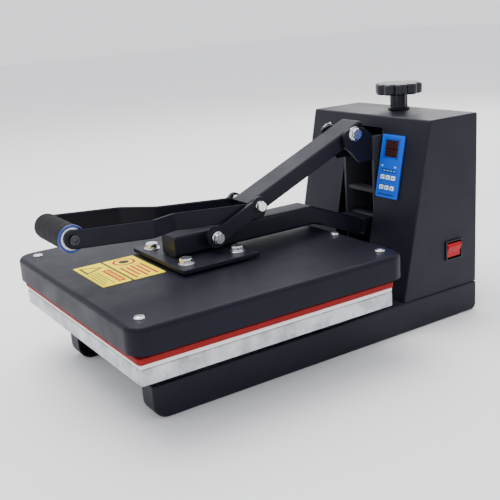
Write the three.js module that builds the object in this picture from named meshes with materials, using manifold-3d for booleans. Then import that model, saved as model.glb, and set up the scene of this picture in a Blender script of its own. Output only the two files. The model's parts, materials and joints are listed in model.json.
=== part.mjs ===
// Clamshell heat press with a toggle handle, in millimetres, +Z up.
// X runs to the operator's right and Y runs from the operator towards the tower.
// Lengths along Y are measured from the base plate's front edge while the parts are drawn,
// and the finished group is moved so that the press stands centred on its origin.

import * as THREE from "three";
import { mergeVertices } from "three/addons/utils/BufferGeometryUtils.js";
import Module from "manifold-3d";

const wasm = await Module();
wasm.setup();

// ---------------------------------------------------------------- driving dimensions

const GAP = 0.3;                 // left between pieces that touch
const Y_CENTRE = 290.75;         // middle of the press, from the base plate's front edge

const FOOT = { inner: 105, outer: 135, front: 36.5, back: 600, top: 45.5, wall: 2.5 };
const BEAM = { half: 132, depth: 40, bottom: 45.8, top: 78.2 };
const BASE = { half: 190, depth: 376, bottom: 78.5, top: 98, wall: 2.5 };
const FELT_TOP = 103.8;
const SILICONE = { half: 192, front: -2, back: 378, bottom: 104.1, top: 112 };

const PLATEN = { half: 190, front: 3, back: 383, bottom: 112.3, top: 123, corner: 14 };
const COVER = { half: 199, front: -9, back: 396, bottom: 116.5, top: 150, corner: 25, wall: 2 };
const MOUNT_PLATE = { half: 75, front: 125, back: 243, bottom: 152.6, top: 158.5 };
const LEVEL_BOLT = { x: 50, front: 143, back: 222, headWidth: 16, shank: 10 };

const ARM = { half: 19, front: 147, bottom: 158.8, top: 188, bend: 381, wall: 3 };
const ARM_REAR = { y: 466, bottom: 125.9, top: 152.8 };
const YOKE = { half: 28, front: 466.3, back: 488, bottom: 127, top: 151.5 };

const HINGE = { y: 500, z: 140, r: 10 };             // platen hinge
const LEVER_PIVOT = { y: 452, z: 285.5, r: 6 };      // handle lever on the pressure carriage
const KNEE = { y: 273.74, z: 209.71 };               // lever and links meet here
const LINK_PIVOT = { y: 201.5, z: 179, r: 5 };       // links on the platen arm
const RUNNING_GAP = 0.3;

const TOWER = {
  half: 132.4, bottom: 45.8, top: 305.8, back: 601.7,
  frontBottom: 451.1, frontTop: 505.6, sheet: 2,
};
const SLOT = { half: 41, top: 247.7, bottom: 60 };   // top and bottom measured up the slope
const FRAME_PLATE = { inner: 30.7, outer: 35.7, front: 484, bottom: 48, top: 289, back: 590, brow: 277.8 };
const CARRIAGE = { earInner: 24.3, earOuter: 30.3, back: 588, bottom: 241, top: 275 };
const FRAME_TOP = { half: 58, front: 508 };
const TIE_BAR = { front: 487, back: 505, bottom: 189, top: 195 };
const SCREW = { y: 570, r: 8, bottom: 232, top: 337.4 };
const KNOB = { r: 36.5, lobes: 10, lobe: 2.4, bottom: 330.4, top: 347.4 };
const KNOB_NECK = { r: 13.5, collarR: 17, collar: 4, bottom: 306.2 };

const CHANNEL = { half: 22, wall: 3, above: 8, below: 14.6, front: -9, rear: 27 };
const BAR = { inner: 22.3, thick: 6, height: 24, wide: 47, bendFront: 98, bendBack: 142 };
const BAR_LINE = { z: 222.7, slope: -0.0785 };       // middle of the bars, from front to knee
const GRIP = { y: -6, z: 223.2, r: 17, half: 43.7, tubeR: 10, ringR: 17.5, stopR: 14 };
const LINK = { inner: 29, outer: 35, halfWidth: 10.6, endR: 14.5 };

const PANEL = { left: 42.5, right: 89.4, bottom: 145.6, top: 239.5, thick: 2.4 };
const DISPLAY = { left: 51, right: 78.5, bottom: 206, top: 231.4 };
const KEY = { width: 9.4, height: 7, foot: 0.8, proud: 1.2 };
const KEY_COLUMNS = [54, 65.3, 76.6];
const KEY_ROWS = [176, 160.8];
const CONTROLLER = { inset: 6.5, front: -0.5, back: -30 };
const SWITCH = { y: 551.5, z: 106.5, width: 38, height: 34, flange: 2.5, tub: 26 };
const ROCKER = {
  half: 11.6, halfWide: 13.7, low: 1, foot: 7, tilt: 16 * Math.PI / 180,
  wellHalf: 14.6, wellHeight: 26.8, wellDepth: 12,
};
const INLET = { x: -60, z: 100, width: 30, height: 24, flange: 3, tub: 24 };
const SOCKET = { half: 11, halfHeight: 7.5, depth: 17, pins: [-6, 0, 6] };

// ---------------------------------------------------------------- materials

const paint = (color, roughness, metalness) =>
  new THREE.MeshStandardMaterial({ color, roughness, metalness });

const powderBlack = paint(0x2b2b33, 0.5, 0.15);
const innerSteel = paint(0x55565c, 0.45, 0.6);
const galvanised = paint(0x9a9da3, 0.45, 0.7);
const zinc = paint(0xc9ccd0, 0.3, 0.85);
const aluminium = paint(0xb9bcc0, 0.35, 0.8);
const felt = paint(0xe9e6df, 0.95, 0);
const silicone = paint(0xc43432, 0.6, 0);
const labelYellow = paint(0xfae16e, 0.55, 0);
const panelBlue = paint(0x146ebe, 0.4, 0);
const keyPale = paint(0xd8dde2, 0.5, 0);
const displayDark = paint(0x301012, 0.15, 0);
const rockerRed = paint(0xc01818, 0.3, 0);
const plasticBlack = paint(0x1b1b1e, 0.45, 0);
const foamBlack = paint(0x222226, 0.9, 0);
const ringBlue = paint(0x1446aa, 0.4, 0);
const boardBeige = paint(0xcfc4a6, 0.9, 0);

// ---------------------------------------------------------------- solids

function solid(geometry) {
  const clean = geometry.clone();
  clean.deleteAttribute("normal");
  clean.deleteAttribute("uv");
  const merged = mergeVertices(clean, 1e-4);
  const mesh = new wasm.Mesh({
    numProp: 3,
    vertProperties: new Float32Array(merged.attributes.position.array),
    triVerts: new Uint32Array(merged.index.array),
  });
  return new wasm.Manifold(mesh);
}

function geometryOf(body) {
  const mesh = body.getMesh();
  const geometry = new THREE.BufferGeometry();
  geometry.setAttribute("position", new THREE.BufferAttribute(mesh.vertProperties, 3));
  geometry.setIndex(new THREE.BufferAttribute(mesh.triVerts, 1));
  geometry.computeVertexNormals();
  return geometry;
}

const cut = (body, ...tools) => tools.reduce((left, tool) => left.subtract(tool), body);
const join = (body, ...others) => others.reduce((sum, other) => sum.add(other), body);

function block(x0, x1, y0, y1, z0, z1) {
  const geometry = new THREE.BoxGeometry(x1 - x0, y1 - y0, z1 - z0);
  geometry.translate((x0 + x1) / 2, (y0 + y1) / 2, (z0 + z1) / 2);
  return solid(geometry);
}

function outline(points) {
  return new THREE.Shape(points.map(([a, b]) => new THREE.Vector2(a, b)));
}

function roundedRectangle(x0, x1, y0, y1, r) {
  const shape = new THREE.Shape();
  shape.moveTo(x0 + r, y0);
  shape.lineTo(x1 - r, y0);
  shape.absarc(x1 - r, y0 + r, r, -Math.PI / 2, 0, false);
  shape.lineTo(x1, y1 - r);
  shape.absarc(x1 - r, y1 - r, r, 0, Math.PI / 2, false);
  shape.lineTo(x0 + r, y1);
  shape.absarc(x0 + r, y1 - r, r, Math.PI / 2, Math.PI, false);
  shape.lineTo(x0, y0 + r);
  shape.absarc(x0 + r, y0 + r, r, Math.PI, 1.5 * Math.PI, false);
  return shape;
}

// A shape drawn in X and Y, raised from z0 to z1.
function raised(shape, z0, z1, curveSegments = 8) {
  const geometry = new THREE.ExtrudeGeometry(shape, {
    depth: z1 - z0, bevelEnabled: false, curveSegments,
  });
  geometry.translate(0, 0, z0);
  return solid(geometry);
}

// A shape drawn in Y and Z, carried along X from x0 to x1.
function across(shape, x0, x1, curveSegments = 8) {
  const geometry = new THREE.ExtrudeGeometry(shape, {
    depth: x1 - x0, bevelEnabled: false, curveSegments,
  });
  const turn = new THREE.Matrix4().makeBasis(
    new THREE.Vector3(0, 1, 0), new THREE.Vector3(0, 0, 1), new THREE.Vector3(1, 0, 0));
  geometry.applyMatrix4(turn);
  geometry.translate(x0, 0, 0);
  return solid(geometry);
}

function rod(r, x0, x1, y, z, sides = 32) {
  const geometry = new THREE.CylinderGeometry(r, r, x1 - x0, sides);
  geometry.rotateZ(-Math.PI / 2);
  geometry.translate((x0 + x1) / 2, y, z);
  return solid(geometry);
}

function post(r, x, y, z0, z1, sides = 32) {
  const geometry = new THREE.CylinderGeometry(r, r, z1 - z0, sides);
  geometry.rotateX(Math.PI / 2);
  geometry.translate(x, y, (z0 + z1) / 2);
  return solid(geometry);
}

function hexHead(width, x0, x1, y, z) {
  return rod(width / Math.sqrt(3), x0, x1, y, z, 6);
}

// Matrix that stands a drawing on the tower's sloping front: X stays, Y runs up the slope,
// and Z points out of it.
function towerFront() {
  const rise = new THREE.Vector3(
    0, TOWER.frontTop - TOWER.frontBottom, TOWER.top - TOWER.bottom).normalize();
  const out = new THREE.Vector3(0, -rise.z, rise.y);
  const stand = new THREE.Matrix4().makeBasis(new THREE.Vector3(1, 0, 0), rise, out);
  stand.setPosition(0, TOWER.frontBottom, TOWER.bottom);
  return stand;
}

const FRONT = towerFront();
const onFront = (body) => body.transform(FRONT.toArray());

// Matrix that lays a drawing on the line from the lever's pivot to the knee: the drawing's
// first axis runs from the knee to the pivot, and the second one is square to it.
function leverShape(points) {
  const dy = LEVER_PIVOT.y - KNEE.y;
  const dz = LEVER_PIVOT.z - KNEE.z;
  const length = Math.hypot(dy, dz);
  const place = ([along, off]) => [
    KNEE.y + (along * dy - off * dz) / length,
    KNEE.z + (along * dz + off * dy) / length,
  ];
  return outline(points.map(place));
}

const LEVER_LENGTH = Math.hypot(LEVER_PIVOT.y - KNEE.y, LEVER_PIVOT.z - KNEE.z);

// ---------------------------------------------------------------- assembly

const press = new THREE.Group();

function add(name, body, material) {
  const mesh = new THREE.Mesh(geometryOf(body), material);
  mesh.name = name;
  press.add(mesh);
}

const sides = [["left", -1], ["right", 1]];
const ordered = (side, a, b) => (side > 0 ? [a, b] : [-b, -a]);

// ---- base

function footShape(inset) {
  const front = FOOT.front + inset;
  const back = FOOT.back - inset;
  const bottom = inset;
  const top = FOOT.top - inset;
  const frontR = 20 - inset;
  const backR = 9 - inset;
  const shape = new THREE.Shape();
  shape.moveTo(front, top);
  shape.lineTo(front, bottom + frontR);
  shape.absarc(front + frontR, bottom + frontR, frontR, Math.PI, 1.5 * Math.PI, false);
  shape.lineTo(back - backR, bottom);
  shape.absarc(back - backR, bottom + backR, backR, 1.5 * Math.PI, 2 * Math.PI, false);
  shape.lineTo(back, top);
  return shape;
}

function foot(side) {
  const [x0, x1] = ordered(side, FOOT.inner, FOOT.outer);
  const [h0, h1] = ordered(side, FOOT.inner - 1, FOOT.outer - FOOT.wall);
  const shell = across(footShape(0), x0, x1);
  return cut(shell, across(footShape(FOOT.wall), h0, h1));
}

function crossBeam(front) {
  const back = front + BEAM.depth;
  const outer = block(-BEAM.half, BEAM.half, front, back, BEAM.bottom, BEAM.top);
  const hollow = block(
    -BEAM.half - 1, BEAM.half + 1, front + 3, back - 3, BEAM.bottom + 3, BEAM.top - 3);
  return cut(outer, hollow);
}

function basePlate() {
  const { half, depth, bottom, top, wall } = BASE;
  const tray = raised(roundedRectangle(-half, half, 0, depth, 3), bottom, top, 4);
  const under = block(-half + wall, half - wall, wall, depth - wall, bottom - 1, top - wall);
  return cut(tray, under);
}

function addBase() {
  for (const [word, side] of sides) add(`${word}_foot`, foot(side), powderBlack);
  add("front_cross_beam", crossBeam(60), powderBlack);
  add("rear_cross_beam", crossBeam(300), powderBlack);
  add("base_plate", basePlate(), galvanised);
  add("felt_pad", block(-BASE.half, BASE.half, 0, BASE.depth, BASE.top + GAP, FELT_TOP), felt);
  const { half, front, back, bottom, top } = SILICONE;
  add("silicone_pad", raised(roundedRectangle(-half, half, front, back, 5), bottom, top, 4), silicone);
}

// ---- tower

function frontPanel() {
  const height = Math.hypot(TOWER.frontTop - TOWER.frontBottom, TOWER.top - TOWER.bottom);
  const sheet = block(-TOWER.half, TOWER.half, 0.6, height - 2.5, -TOWER.sheet, 0);
  const slot = block(-SLOT.half, SLOT.half, SLOT.bottom, SLOT.top, -TOWER.sheet - 1, 1);
  const window = block(
    PANEL.left + 6, PANEL.right - 6, PANEL.bottom + 6, PANEL.top - 6, -TOWER.sheet - 1, 1);
  return onFront(cut(sheet, slot, window));
}

function sidePanel(side) {
  const step = TOWER.sheet + GAP + 0.2;
  const shape = outline([
    [TOWER.frontBottom + step, TOWER.bottom],
    [TOWER.back - step, TOWER.bottom],
    [TOWER.back - step, TOWER.top - step],
    [TOWER.frontTop + step - 0.4, TOWER.top - step],
  ]);
  const [x0, x1] = ordered(side, TOWER.half - TOWER.sheet, TOWER.half);
  const panel = across(shape, x0, x1);
  if (side < 0) return panel;
  const opening = block(
    x0 - 1, x1 + 1, SWITCH.y - SWITCH.width / 2 + 2.1, SWITCH.y + SWITCH.width / 2 - 2.1,
    SWITCH.z - SWITCH.height / 2 + 2.1, SWITCH.z + SWITCH.height / 2 - 2.1);
  return cut(panel, opening);
}

function topPanel() {
  const sheet = block(
    -TOWER.half, TOWER.half, TOWER.frontTop, TOWER.back, TOWER.top - TOWER.sheet, TOWER.top);
  return cut(sheet, post(SCREW.r + 4, 0, SCREW.y, TOWER.top - 10, TOWER.top + 10));
}

function backPanel() {
  const sheet = block(
    -TOWER.half, TOWER.half, TOWER.back - TOWER.sheet, TOWER.back,
    TOWER.bottom, TOWER.top - TOWER.sheet - GAP);
  const opening = block(
    INLET.x - INLET.width / 2 + 2, INLET.x + INLET.width / 2 - 2,
    TOWER.back - 10, TOWER.back + 10,
    INLET.z - INLET.height / 2 + 2, INLET.z + INLET.height / 2 - 2);
  return cut(sheet, opening);
}

function framePlate(side) {
  const { inner, outer, front, bottom, top, back, brow } = FRAME_PLATE;
  const shape = outline([
    [front, bottom], [back, bottom], [back, top], [506, top], [506, brow], [front, brow],
  ]);
  const [x0, x1] = ordered(side, inner, outer);
  const plate = across(shape, x0, x1);
  const shaftHole = rod(HINGE.r + RUNNING_GAP, x0 - 1, x1 + 1, HINGE.y, HINGE.z);
  return cut(plate, shaftHole);
}

function towerFloor() {
  const half = TOWER.half - TOWER.sheet - GAP;
  const back = TOWER.back - TOWER.sheet - GAP;
  return block(-half, half, TOWER.frontBottom + 3.5, back, TOWER.bottom, FRAME_PLATE.bottom - GAP);
}

function frameTop() {
  const plate = block(
    -FRAME_TOP.half, FRAME_TOP.half, FRAME_TOP.front, FRAME_PLATE.back,
    FRAME_PLATE.top + GAP, TOWER.top - TOWER.sheet - GAP);
  return cut(plate, post(SCREW.r + RUNNING_GAP, 0, SCREW.y, FRAME_PLATE.top, TOWER.top));
}

function hingeShaft() {
  return join(
    rod(HINGE.r, -40, 40, HINGE.y, HINGE.z),
    rod(HINGE.r + 4, -42, -36, HINGE.y, HINGE.z),
    rod(HINGE.r + 4, 36, 42, HINGE.y, HINGE.z));
}

function addTower() {
  add("tower_front_panel", frontPanel(), powderBlack);
  for (const [word, side] of sides) add(`tower_${word}_panel`, sidePanel(side), powderBlack);
  add("tower_top_panel", topPanel(), powderBlack);
  add("tower_back_panel", backPanel(), powderBlack);
  add("tower_floor", towerFloor(), innerSteel);
  for (const [word, side] of sides) add(`${word}_frame_plate`, framePlate(side), innerSteel);
  add("frame_top_plate", frameTop(), innerSteel);
  const inner = FRAME_PLATE.inner - GAP;
  const { front, back, bottom, top } = TIE_BAR;
  add("frame_tie_bar", block(-inner, inner, front, back, bottom, top), innerSteel);
  add("hinge_shaft", hingeShaft(), zinc);
}

// ---- controls

function controlPanel() {
  const plate = block(PANEL.left, PANEL.right, PANEL.bottom, PANEL.top, GAP, PANEL.thick + GAP);
  const holes = [block(DISPLAY.left, DISPLAY.right, DISPLAY.bottom, DISPLAY.top, -1, 5)];
  for (const s of KEY_ROWS) {
    for (const x of KEY_COLUMNS) {
      const w = KEY.width / 2 + 0.3;
      const h = KEY.height / 2 + 0.3;
      holes.push(block(x - w, x + w, s - h, s + h, -1, 5));
    }
  }
  return onFront(cut(plate, ...holes));
}

function keyCap(x, s) {
  const w = KEY.width / 2;
  const h = KEY.height / 2;
  return onFront(block(x - w, x + w, s - h, s + h, KEY.foot, PANEL.thick + GAP + KEY.proud));
}

function addControls() {
  add("control_panel", controlPanel(), panelBlue);
  const pane = block(
    DISPLAY.left + GAP, DISPLAY.right - GAP, DISPLAY.bottom + GAP, DISPLAY.top - GAP,
    0.5, PANEL.thick + GAP - 0.4);
  add("display_window", onFront(pane), displayDark);
  let number = 1;
  for (const s of KEY_ROWS) {
    for (const x of KEY_COLUMNS) {
      add(`key_${number}`, keyCap(x, s), keyPale);
      number += 1;
    }
  }
  const { inset, front, back } = CONTROLLER;
  const box = block(
    PANEL.left + inset, PANEL.right - inset, PANEL.bottom + inset, PANEL.top - inset, back, front);
  add("controller_box", onFront(box), plasticBlack);
  addSwitch();
  addInlet();
}

function addSwitch() {
  const { y, z, width, height } = SWITCH;
  const face = TOWER.half + GAP;
  const flange = block(
    face, face + SWITCH.flange, y - width / 2, y + width / 2, z - height / 2, z + height / 2);
  const tub = block(
    face - SWITCH.tub, face + 1, y - width / 2 + 2.4, y + width / 2 - 2.4,
    z - height / 2 + 2.4, z + height / 2 - 2.4);
  const { half, halfWide, low, foot, tilt, wellHalf, wellHeight, wellDepth } = ROCKER;
  const well = block(
    face - wellDepth, face + 5, y - wellHalf, y + wellHalf, z - wellHeight / 2, z + wellHeight / 2);
  add("switch_housing", cut(join(flange, tub), well), plasticBlack);
  const ridge = face + low + half * Math.tan(tilt);
  const profile = outline([
    [face - foot, z - half + 2], [face + low, z - half], [face + low, z - half * 0.3],
    [ridge, z + half * 0.5], [face + low + 1, z + half - 0.6], [face - foot, z + half - 2],
  ]);
  const rocker = raised(profile, -y - halfWide, -y + halfWide).rotate([90, 0, 0]);
  add("power_rocker", rocker, rockerRed);
}

function addInlet() {
  const { x, z, width, height } = INLET;
  const face = TOWER.back + GAP;
  const flange = block(
    x - width / 2, x + width / 2, face, face + INLET.flange, z - height / 2, z + height / 2);
  const tub = block(
    x - width / 2 + 3, x + width / 2 - 3, face - INLET.tub, face + 1,
    z - height / 2 + 3, z + height / 2 - 3);
  const { half, halfHeight, depth } = SOCKET;
  const socket = block(x - half, x + half, face - depth, face + 6, z - halfHeight, z + halfHeight);
  const pins = SOCKET.pins.map(
    (dx) => block(x + dx - 1, x + dx + 1, face - depth - 1, face - 3, z - 5, z - 1));
  add("power_inlet", join(cut(join(flange, tub), socket), ...pins), plasticBlack);
}

// ---- heated platen, its arm and its cover

function platenCover() {
  const { half, front, back, bottom, top, corner, wall } = COVER;
  const layer = (inset, z0, z1) => raised(
    roundedRectangle(-half + inset, half - inset, front + inset, back - inset, corner - inset),
    z0, z1, 8);
  const shell = join(
    layer(0, bottom, top - 6), layer(1.8, top - 6.01, top - 2.4), layer(5.5, top - 2.41, top));
  const boltHoles = levelBoltPlaces().map(
    ([x, y]) => post(LEVEL_BOLT.shank / 2 + GAP, x, y, bottom, top + 1, 24));
  return cut(shell, layer(wall + 3.6, bottom - 1, top - wall), ...boltHoles);
}

function heatingPlate() {
  const { half, front, back, bottom, top, corner } = PLATEN;
  return raised(roundedRectangle(-half, half, front, back, corner), bottom, top, 6);
}

function mountingPlate() {
  const { half, front, back, bottom, top } = MOUNT_PLATE;
  const plate = raised(roundedRectangle(-half, half, front, back, 2), bottom, top, 3);
  const pads = [];
  const holes = [];
  for (const [x, y] of levelBoltPlaces()) {
    pads.push(post(12, x, y, COVER.top + GAP, bottom + 1, 24));
    holes.push(post(LEVEL_BOLT.shank / 2 + GAP, x, y, 100, 200, 24));
  }
  return cut(join(plate, ...pads), ...holes);
}

function levelBoltPlaces() {
  const { x, front, back } = LEVEL_BOLT;
  return [[-x, front], [x, front], [-x, back], [x, back]];
}

function levelBolt(x, y) {
  const seat = MOUNT_PLATE.top + GAP;
  const washer = post(11, x, y, seat, seat + 1.8, 28);
  const head = post(LEVEL_BOLT.headWidth / Math.sqrt(3), x, y, seat + 1.7, seat + 8.5, 6);
  const shank = post(LEVEL_BOLT.shank / 2, x, y, COVER.top - 12, seat + 1, 24);
  return join(washer, head, shank);
}

function platenArm() {
  const { half, front, bottom, top, bend, wall } = ARM;
  const slope = (ARM_REAR.bottom - bottom) / (ARM_REAR.y - bend);
  const topBend = ARM_REAR.y - (ARM_REAR.top - top) / slope;
  const outer = outline([
    [front, bottom], [bend, bottom], [ARM_REAR.y, ARM_REAR.bottom],
    [ARM_REAR.y, ARM_REAR.top], [topBend, top], [front, top],
  ]);
  const inner = outline([
    [front - 1, bottom + wall], [bend + 0.8, bottom + wall],
    [ARM_REAR.y + 1, ARM_REAR.bottom + wall * 1.13 - 0.5],
    [ARM_REAR.y + 1, ARM_REAR.top - wall * 1.13 - 0.5],
    [topBend - 0.8, top - wall], [front - 1, top - wall],
  ]);
  const tube = cut(across(outer, -half, half), across(inner, -half + wall, half - wall));
  const { y, z, r } = LINK_PIVOT;
  return cut(tube, rod(r + GAP, -half - 1, half + 1, y, z, 24));
}

function armEndCap() {
  const { half, front, bottom, top, wall } = ARM;
  const flange = block(-half, half, front - 3, front - GAP, bottom, top);
  const plug = block(
    -half + wall + GAP, half - wall - GAP, front - 1, front + 12,
    bottom + wall + GAP, top - wall - GAP);
  return join(flange, plug);
}

function armYoke() {
  const { half, front, back, bottom, top } = YOKE;
  const body = block(-half, half, front, back, bottom, top);
  const barrel = rod(16, -half, half, HINGE.y, HINGE.z, 36);
  return cut(join(body, barrel), rod(HINGE.r + RUNNING_GAP, -half - 1, half + 1, HINGE.y, HINGE.z));
}

function linkPin() {
  const { y, z, r } = LINK_PIVOT;
  const reach = LINK.outer + GAP;
  const spacers = [-1, 1].map((side) => {
    const [x0, x1] = ordered(side, ARM.half + GAP, LINK.inner - GAP);
    return rod(r + 3, x0, x1, y, z, 28);
  });
  const heads = [-1, 1].map((side) => {
    const [x0, x1] = ordered(side, reach, reach + 6);
    return hexHead(15, x0, x1, y, z);
  });
  return join(rod(r, -reach - 3, reach + 3, y, z, 24), ...spacers, ...heads);
}

function sticker(front, back) {
  return raised(roundedRectangle(-66, 37, front, back, 2), COVER.top + 0.1, COVER.top + 0.4, 3);
}

function addPlaten() {
  add("heating_plate", heatingPlate(), aluminium);
  const { half, front, back, top, corner } = PLATEN;
  const board = roundedRectangle(-half + 8, half - 8, front + 8, back - 8, corner - 6);
  add("insulation_board", raised(board, top + GAP, top + 12, 4), boardBeige);
  add("platen_cover", platenCover(), powderBlack);
  add("mounting_plate", mountingPlate(), powderBlack);
  levelBoltPlaces().forEach(([x, y], index) => add(`level_bolt_${index + 1}`, levelBolt(x, y), zinc));
  add("platen_arm", platenArm(), powderBlack);
  add("arm_end_cap", armEndCap(), plasticBlack);
  add("arm_yoke", armYoke(), powderBlack);
  add("link_pivot_pin", linkPin(), zinc);
  add("front_label", sticker(29, 70), labelYellow);
  add("rear_label", sticker(72.5, 119), labelYellow);
}

// ---- pressure carriage, screw and knob

function pressureCarriage() {
  const { earInner, earOuter, back, bottom, top } = CARRIAGE;
  const ear = outline([
    [431.5, 280], [431.5, 289], [437, 296], [446, 298.5], [473, 292.5], [492, top],
    [back, top], [back, bottom], [461, bottom], [441, 267],
  ]);
  const ears = join(across(ear, -earOuter, -earInner), across(ear, earInner, earOuter));
  const bridge = block(-earInner - 1, earInner + 1, 512, back, bottom, top);
  const { y, z, r } = LEVER_PIVOT;
  const pinHole = rod(r + GAP, -earOuter - 1, earOuter + 1, y, z, 28);
  const screwHole = post(SCREW.r + RUNNING_GAP, 0, SCREW.y, bottom - 1, top + 1);
  return cut(join(ears, bridge), pinHole, screwHole);
}

function leverPin() {
  const { y, z, r } = LEVER_PIVOT;
  const reach = CARRIAGE.earOuter + GAP;
  return join(
    rod(r, -reach - 2, reach + 2, y, z, 28),
    rod(10.5, reach, reach + 1.6, y, z, 28),
    hexHead(17, reach + 1.5, reach + 8, y, z),
    hexHead(17, -reach - 7, -reach, y, z));
}

function pressureScrew() {
  return post(SCREW.r, 0, SCREW.y, SCREW.bottom, SCREW.top, 28);
}

function pressureKnob() {
  const count = KNOB.lobes * 8;
  const rim = [];
  for (let i = 0; i < count; i += 1) {
    const angle = (2 * Math.PI * i) / count;
    const r = KNOB.r - KNOB.lobe + KNOB.lobe * Math.cos(KNOB.lobes * angle);
    rim.push([r * Math.cos(angle), SCREW.y + r * Math.sin(angle)]);
  }
  const disc = raised(outline(rim), KNOB.bottom, KNOB.top);
  const { r, collarR, collar, bottom } = KNOB_NECK;
  const neck = post(r, 0, SCREW.y, bottom, KNOB.bottom + 1, 36);
  const foot = post(collarR, 0, SCREW.y, bottom, bottom + collar, 36);
  const seat = post(SCREW.r + GAP, 0, SCREW.y, bottom - 1, SCREW.top + GAP);
  return cut(join(disc, neck, foot), seat);
}

function addPressure() {
  add("pressure_carriage", pressureCarriage(), powderBlack);
  add("lever_pivot_bolt", leverPin(), zinc);
  add("pressure_screw", pressureScrew(), zinc);
  add("pressure_knob", pressureKnob(), plasticBlack);
}

// ---- lever, handle and links

function leverChannel() {
  const { half, wall, above, below, front, rear } = CHANNEL;
  const end = LEVER_LENGTH + rear;
  const outer = leverShape([
    [front, -below], [end - 8, -below], [end, -below + 9], [end, above - 3],
    [end - 3, above], [front, above],
  ]);
  const inner = leverShape([
    [front - 2, -below - 2], [end + 2, -below - 2], [end + 2, above - wall], [front - 2, above - wall],
  ]);
  const channel = cut(across(outer, -half, half), across(inner, -half + wall, half - wall));
  const { y, z, r } = LEVER_PIVOT;
  const pinHole = rod(r + GAP, -half - 1, half + 1, y, z, 28);
  const kneeHole = rod(7.3, -half - 1, half + 1, KNEE.y, KNEE.z, 28);
  return cut(channel, pinHole, kneeHole);
}

// Each bar is a flat strip on edge: straight beside the lever, bent outwards, then straight
// again to the grip.
function barPlan(side) {
  const { inner, thick, wide, bendFront, bendBack } = BAR;
  const front = GRIP.y - 20;
  const back = KNEE.y + 12;
  const plan = [
    [inner, back], [inner, bendBack], [wide, bendFront], [wide, front],
    [wide + thick, front], [wide + thick, bendFront + 2.4], [inner + thick, bendBack + 2.4],
    [inner + thick, back],
  ];
  return outline(plan.map(([x, y]) => [side * x, y]));
}

function barSide() {
  const middle = (y) => BAR_LINE.z + BAR_LINE.slope * y;
  const r = BAR.height / 2;
  const front = GRIP.y;
  const back = KNEE.y + 1;
  const lean = Math.atan(BAR_LINE.slope);
  const shape = new THREE.Shape();
  shape.absarc(back, middle(back), r, lean - Math.PI / 2, lean + Math.PI / 2, false);
  shape.absarc(front, GRIP.z, r, lean + Math.PI / 2, lean + 1.5 * Math.PI, false);
  return shape;
}

function handleBar(side) {
  const strip = raised(barPlan(side), 150, 290);
  const bar = strip.intersect(across(barSide(), -80, 80, 16));
  return cut(
    bar,
    rod(GRIP.tubeR / 2 + GAP, -80, 80, GRIP.y, GRIP.z, 20),
    rod(7.3, -80, 80, KNEE.y, KNEE.z, 28));
}

function gripRod() {
  const reach = BAR.wide + BAR.thick + GAP;
  return join(
    rod(GRIP.tubeR, -BAR.wide + GAP, BAR.wide - GAP, GRIP.y, GRIP.z, 28),
    rod(GRIP.tubeR / 2, -reach - 1, reach + 1, GRIP.y, GRIP.z, 20),
    hexHead(11, reach, reach + 3.5, GRIP.y, GRIP.z),
    hexHead(11, -reach - 3.5, -reach, GRIP.y, GRIP.z));
}

function sleeve(x0, x1, outer, bore) {
  return cut(rod(outer, x0, x1, GRIP.y, GRIP.z, 36), rod(bore, x0 - 1, x1 + 1, GRIP.y, GRIP.z, 28));
}

function link(side) {
  const dy = KNEE.y - LINK_PIVOT.y;
  const dz = KNEE.z - LINK_PIVOT.z;
  const length = Math.hypot(dy, dz);
  const w = LINK.halfWidth;
  const corner = (along, off) => [
    LINK_PIVOT.y + (along * dy - off * dz) / length,
    LINK_PIVOT.z + (along * dz + off * dy) / length,
  ];
  const strap = outline([corner(0, -w), corner(length, -w), corner(length, w), corner(0, w)]);
  const [x0, x1] = ordered(side, LINK.inner, LINK.outer);
  const plate = join(
    across(strap, x0, x1),
    rod(LINK.endR, x0, x1, LINK_PIVOT.y, LINK_PIVOT.z, 40),
    rod(LINK.endR - 1.5, x0, x1, KNEE.y, KNEE.z, 40));
  return cut(
    plate,
    rod(LINK_PIVOT.r + RUNNING_GAP, x0 - 1, x1 + 1, LINK_PIVOT.y, LINK_PIVOT.z, 24),
    rod(4.5 + GAP, x0 - 1, x1 + 1, KNEE.y, KNEE.z, 24));
}

function kneeStud(side) {
  const [s0, s1] = ordered(side, LINK.inner, LINK.outer + 2);
  const [h0, h1] = ordered(side, LINK.outer + GAP, LINK.outer + 6);
  return join(rod(4.5, s0, s1, KNEE.y, KNEE.z, 24), hexHead(15, h0, h1, KNEE.y, KNEE.z));
}

function addLever() {
  add("lever_channel", leverChannel(), powderBlack);
  for (const [word, side] of sides) add(`${word}_handle_bar`, handleBar(side), powderBlack);
  const kneeReach = BAR.inner + BAR.thick;
  add("knee_tube", rod(7, -kneeReach, kneeReach, KNEE.y, KNEE.z, 28), zinc);
  add("grip_rod", gripRod(), zinc);
  add("foam_grip", sleeve(-GRIP.half, GRIP.half, GRIP.r, GRIP.tubeR + GAP), foamBlack);
  for (const [word, side] of sides) {
    const [x0, x1] = ordered(side, GRIP.half + GAP, BAR.wide - GAP);
    const outer = side > 0 ? GRIP.ringR : GRIP.stopR;
    const finish = side > 0 ? ringBlue : plasticBlack;
    add(`${word}_grip_ring`, sleeve(x0, x1, outer, GRIP.tubeR + GAP), finish);
  }
  for (const [word, side] of sides) {
    add(`${word}_link`, link(side), powderBlack);
    add(`${word}_knee_bolt`, kneeStud(side), zinc);
  }
}

addBase();
addTower();
addControls();
addPlaten();
addPressure();
addLever();

press.position.y = -Y_CENTRE;

export default press;
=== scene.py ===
import json
import math
from collections import namedtuple

import bmesh
import bpy
from mathutils import Matrix, Vector, noise


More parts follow.
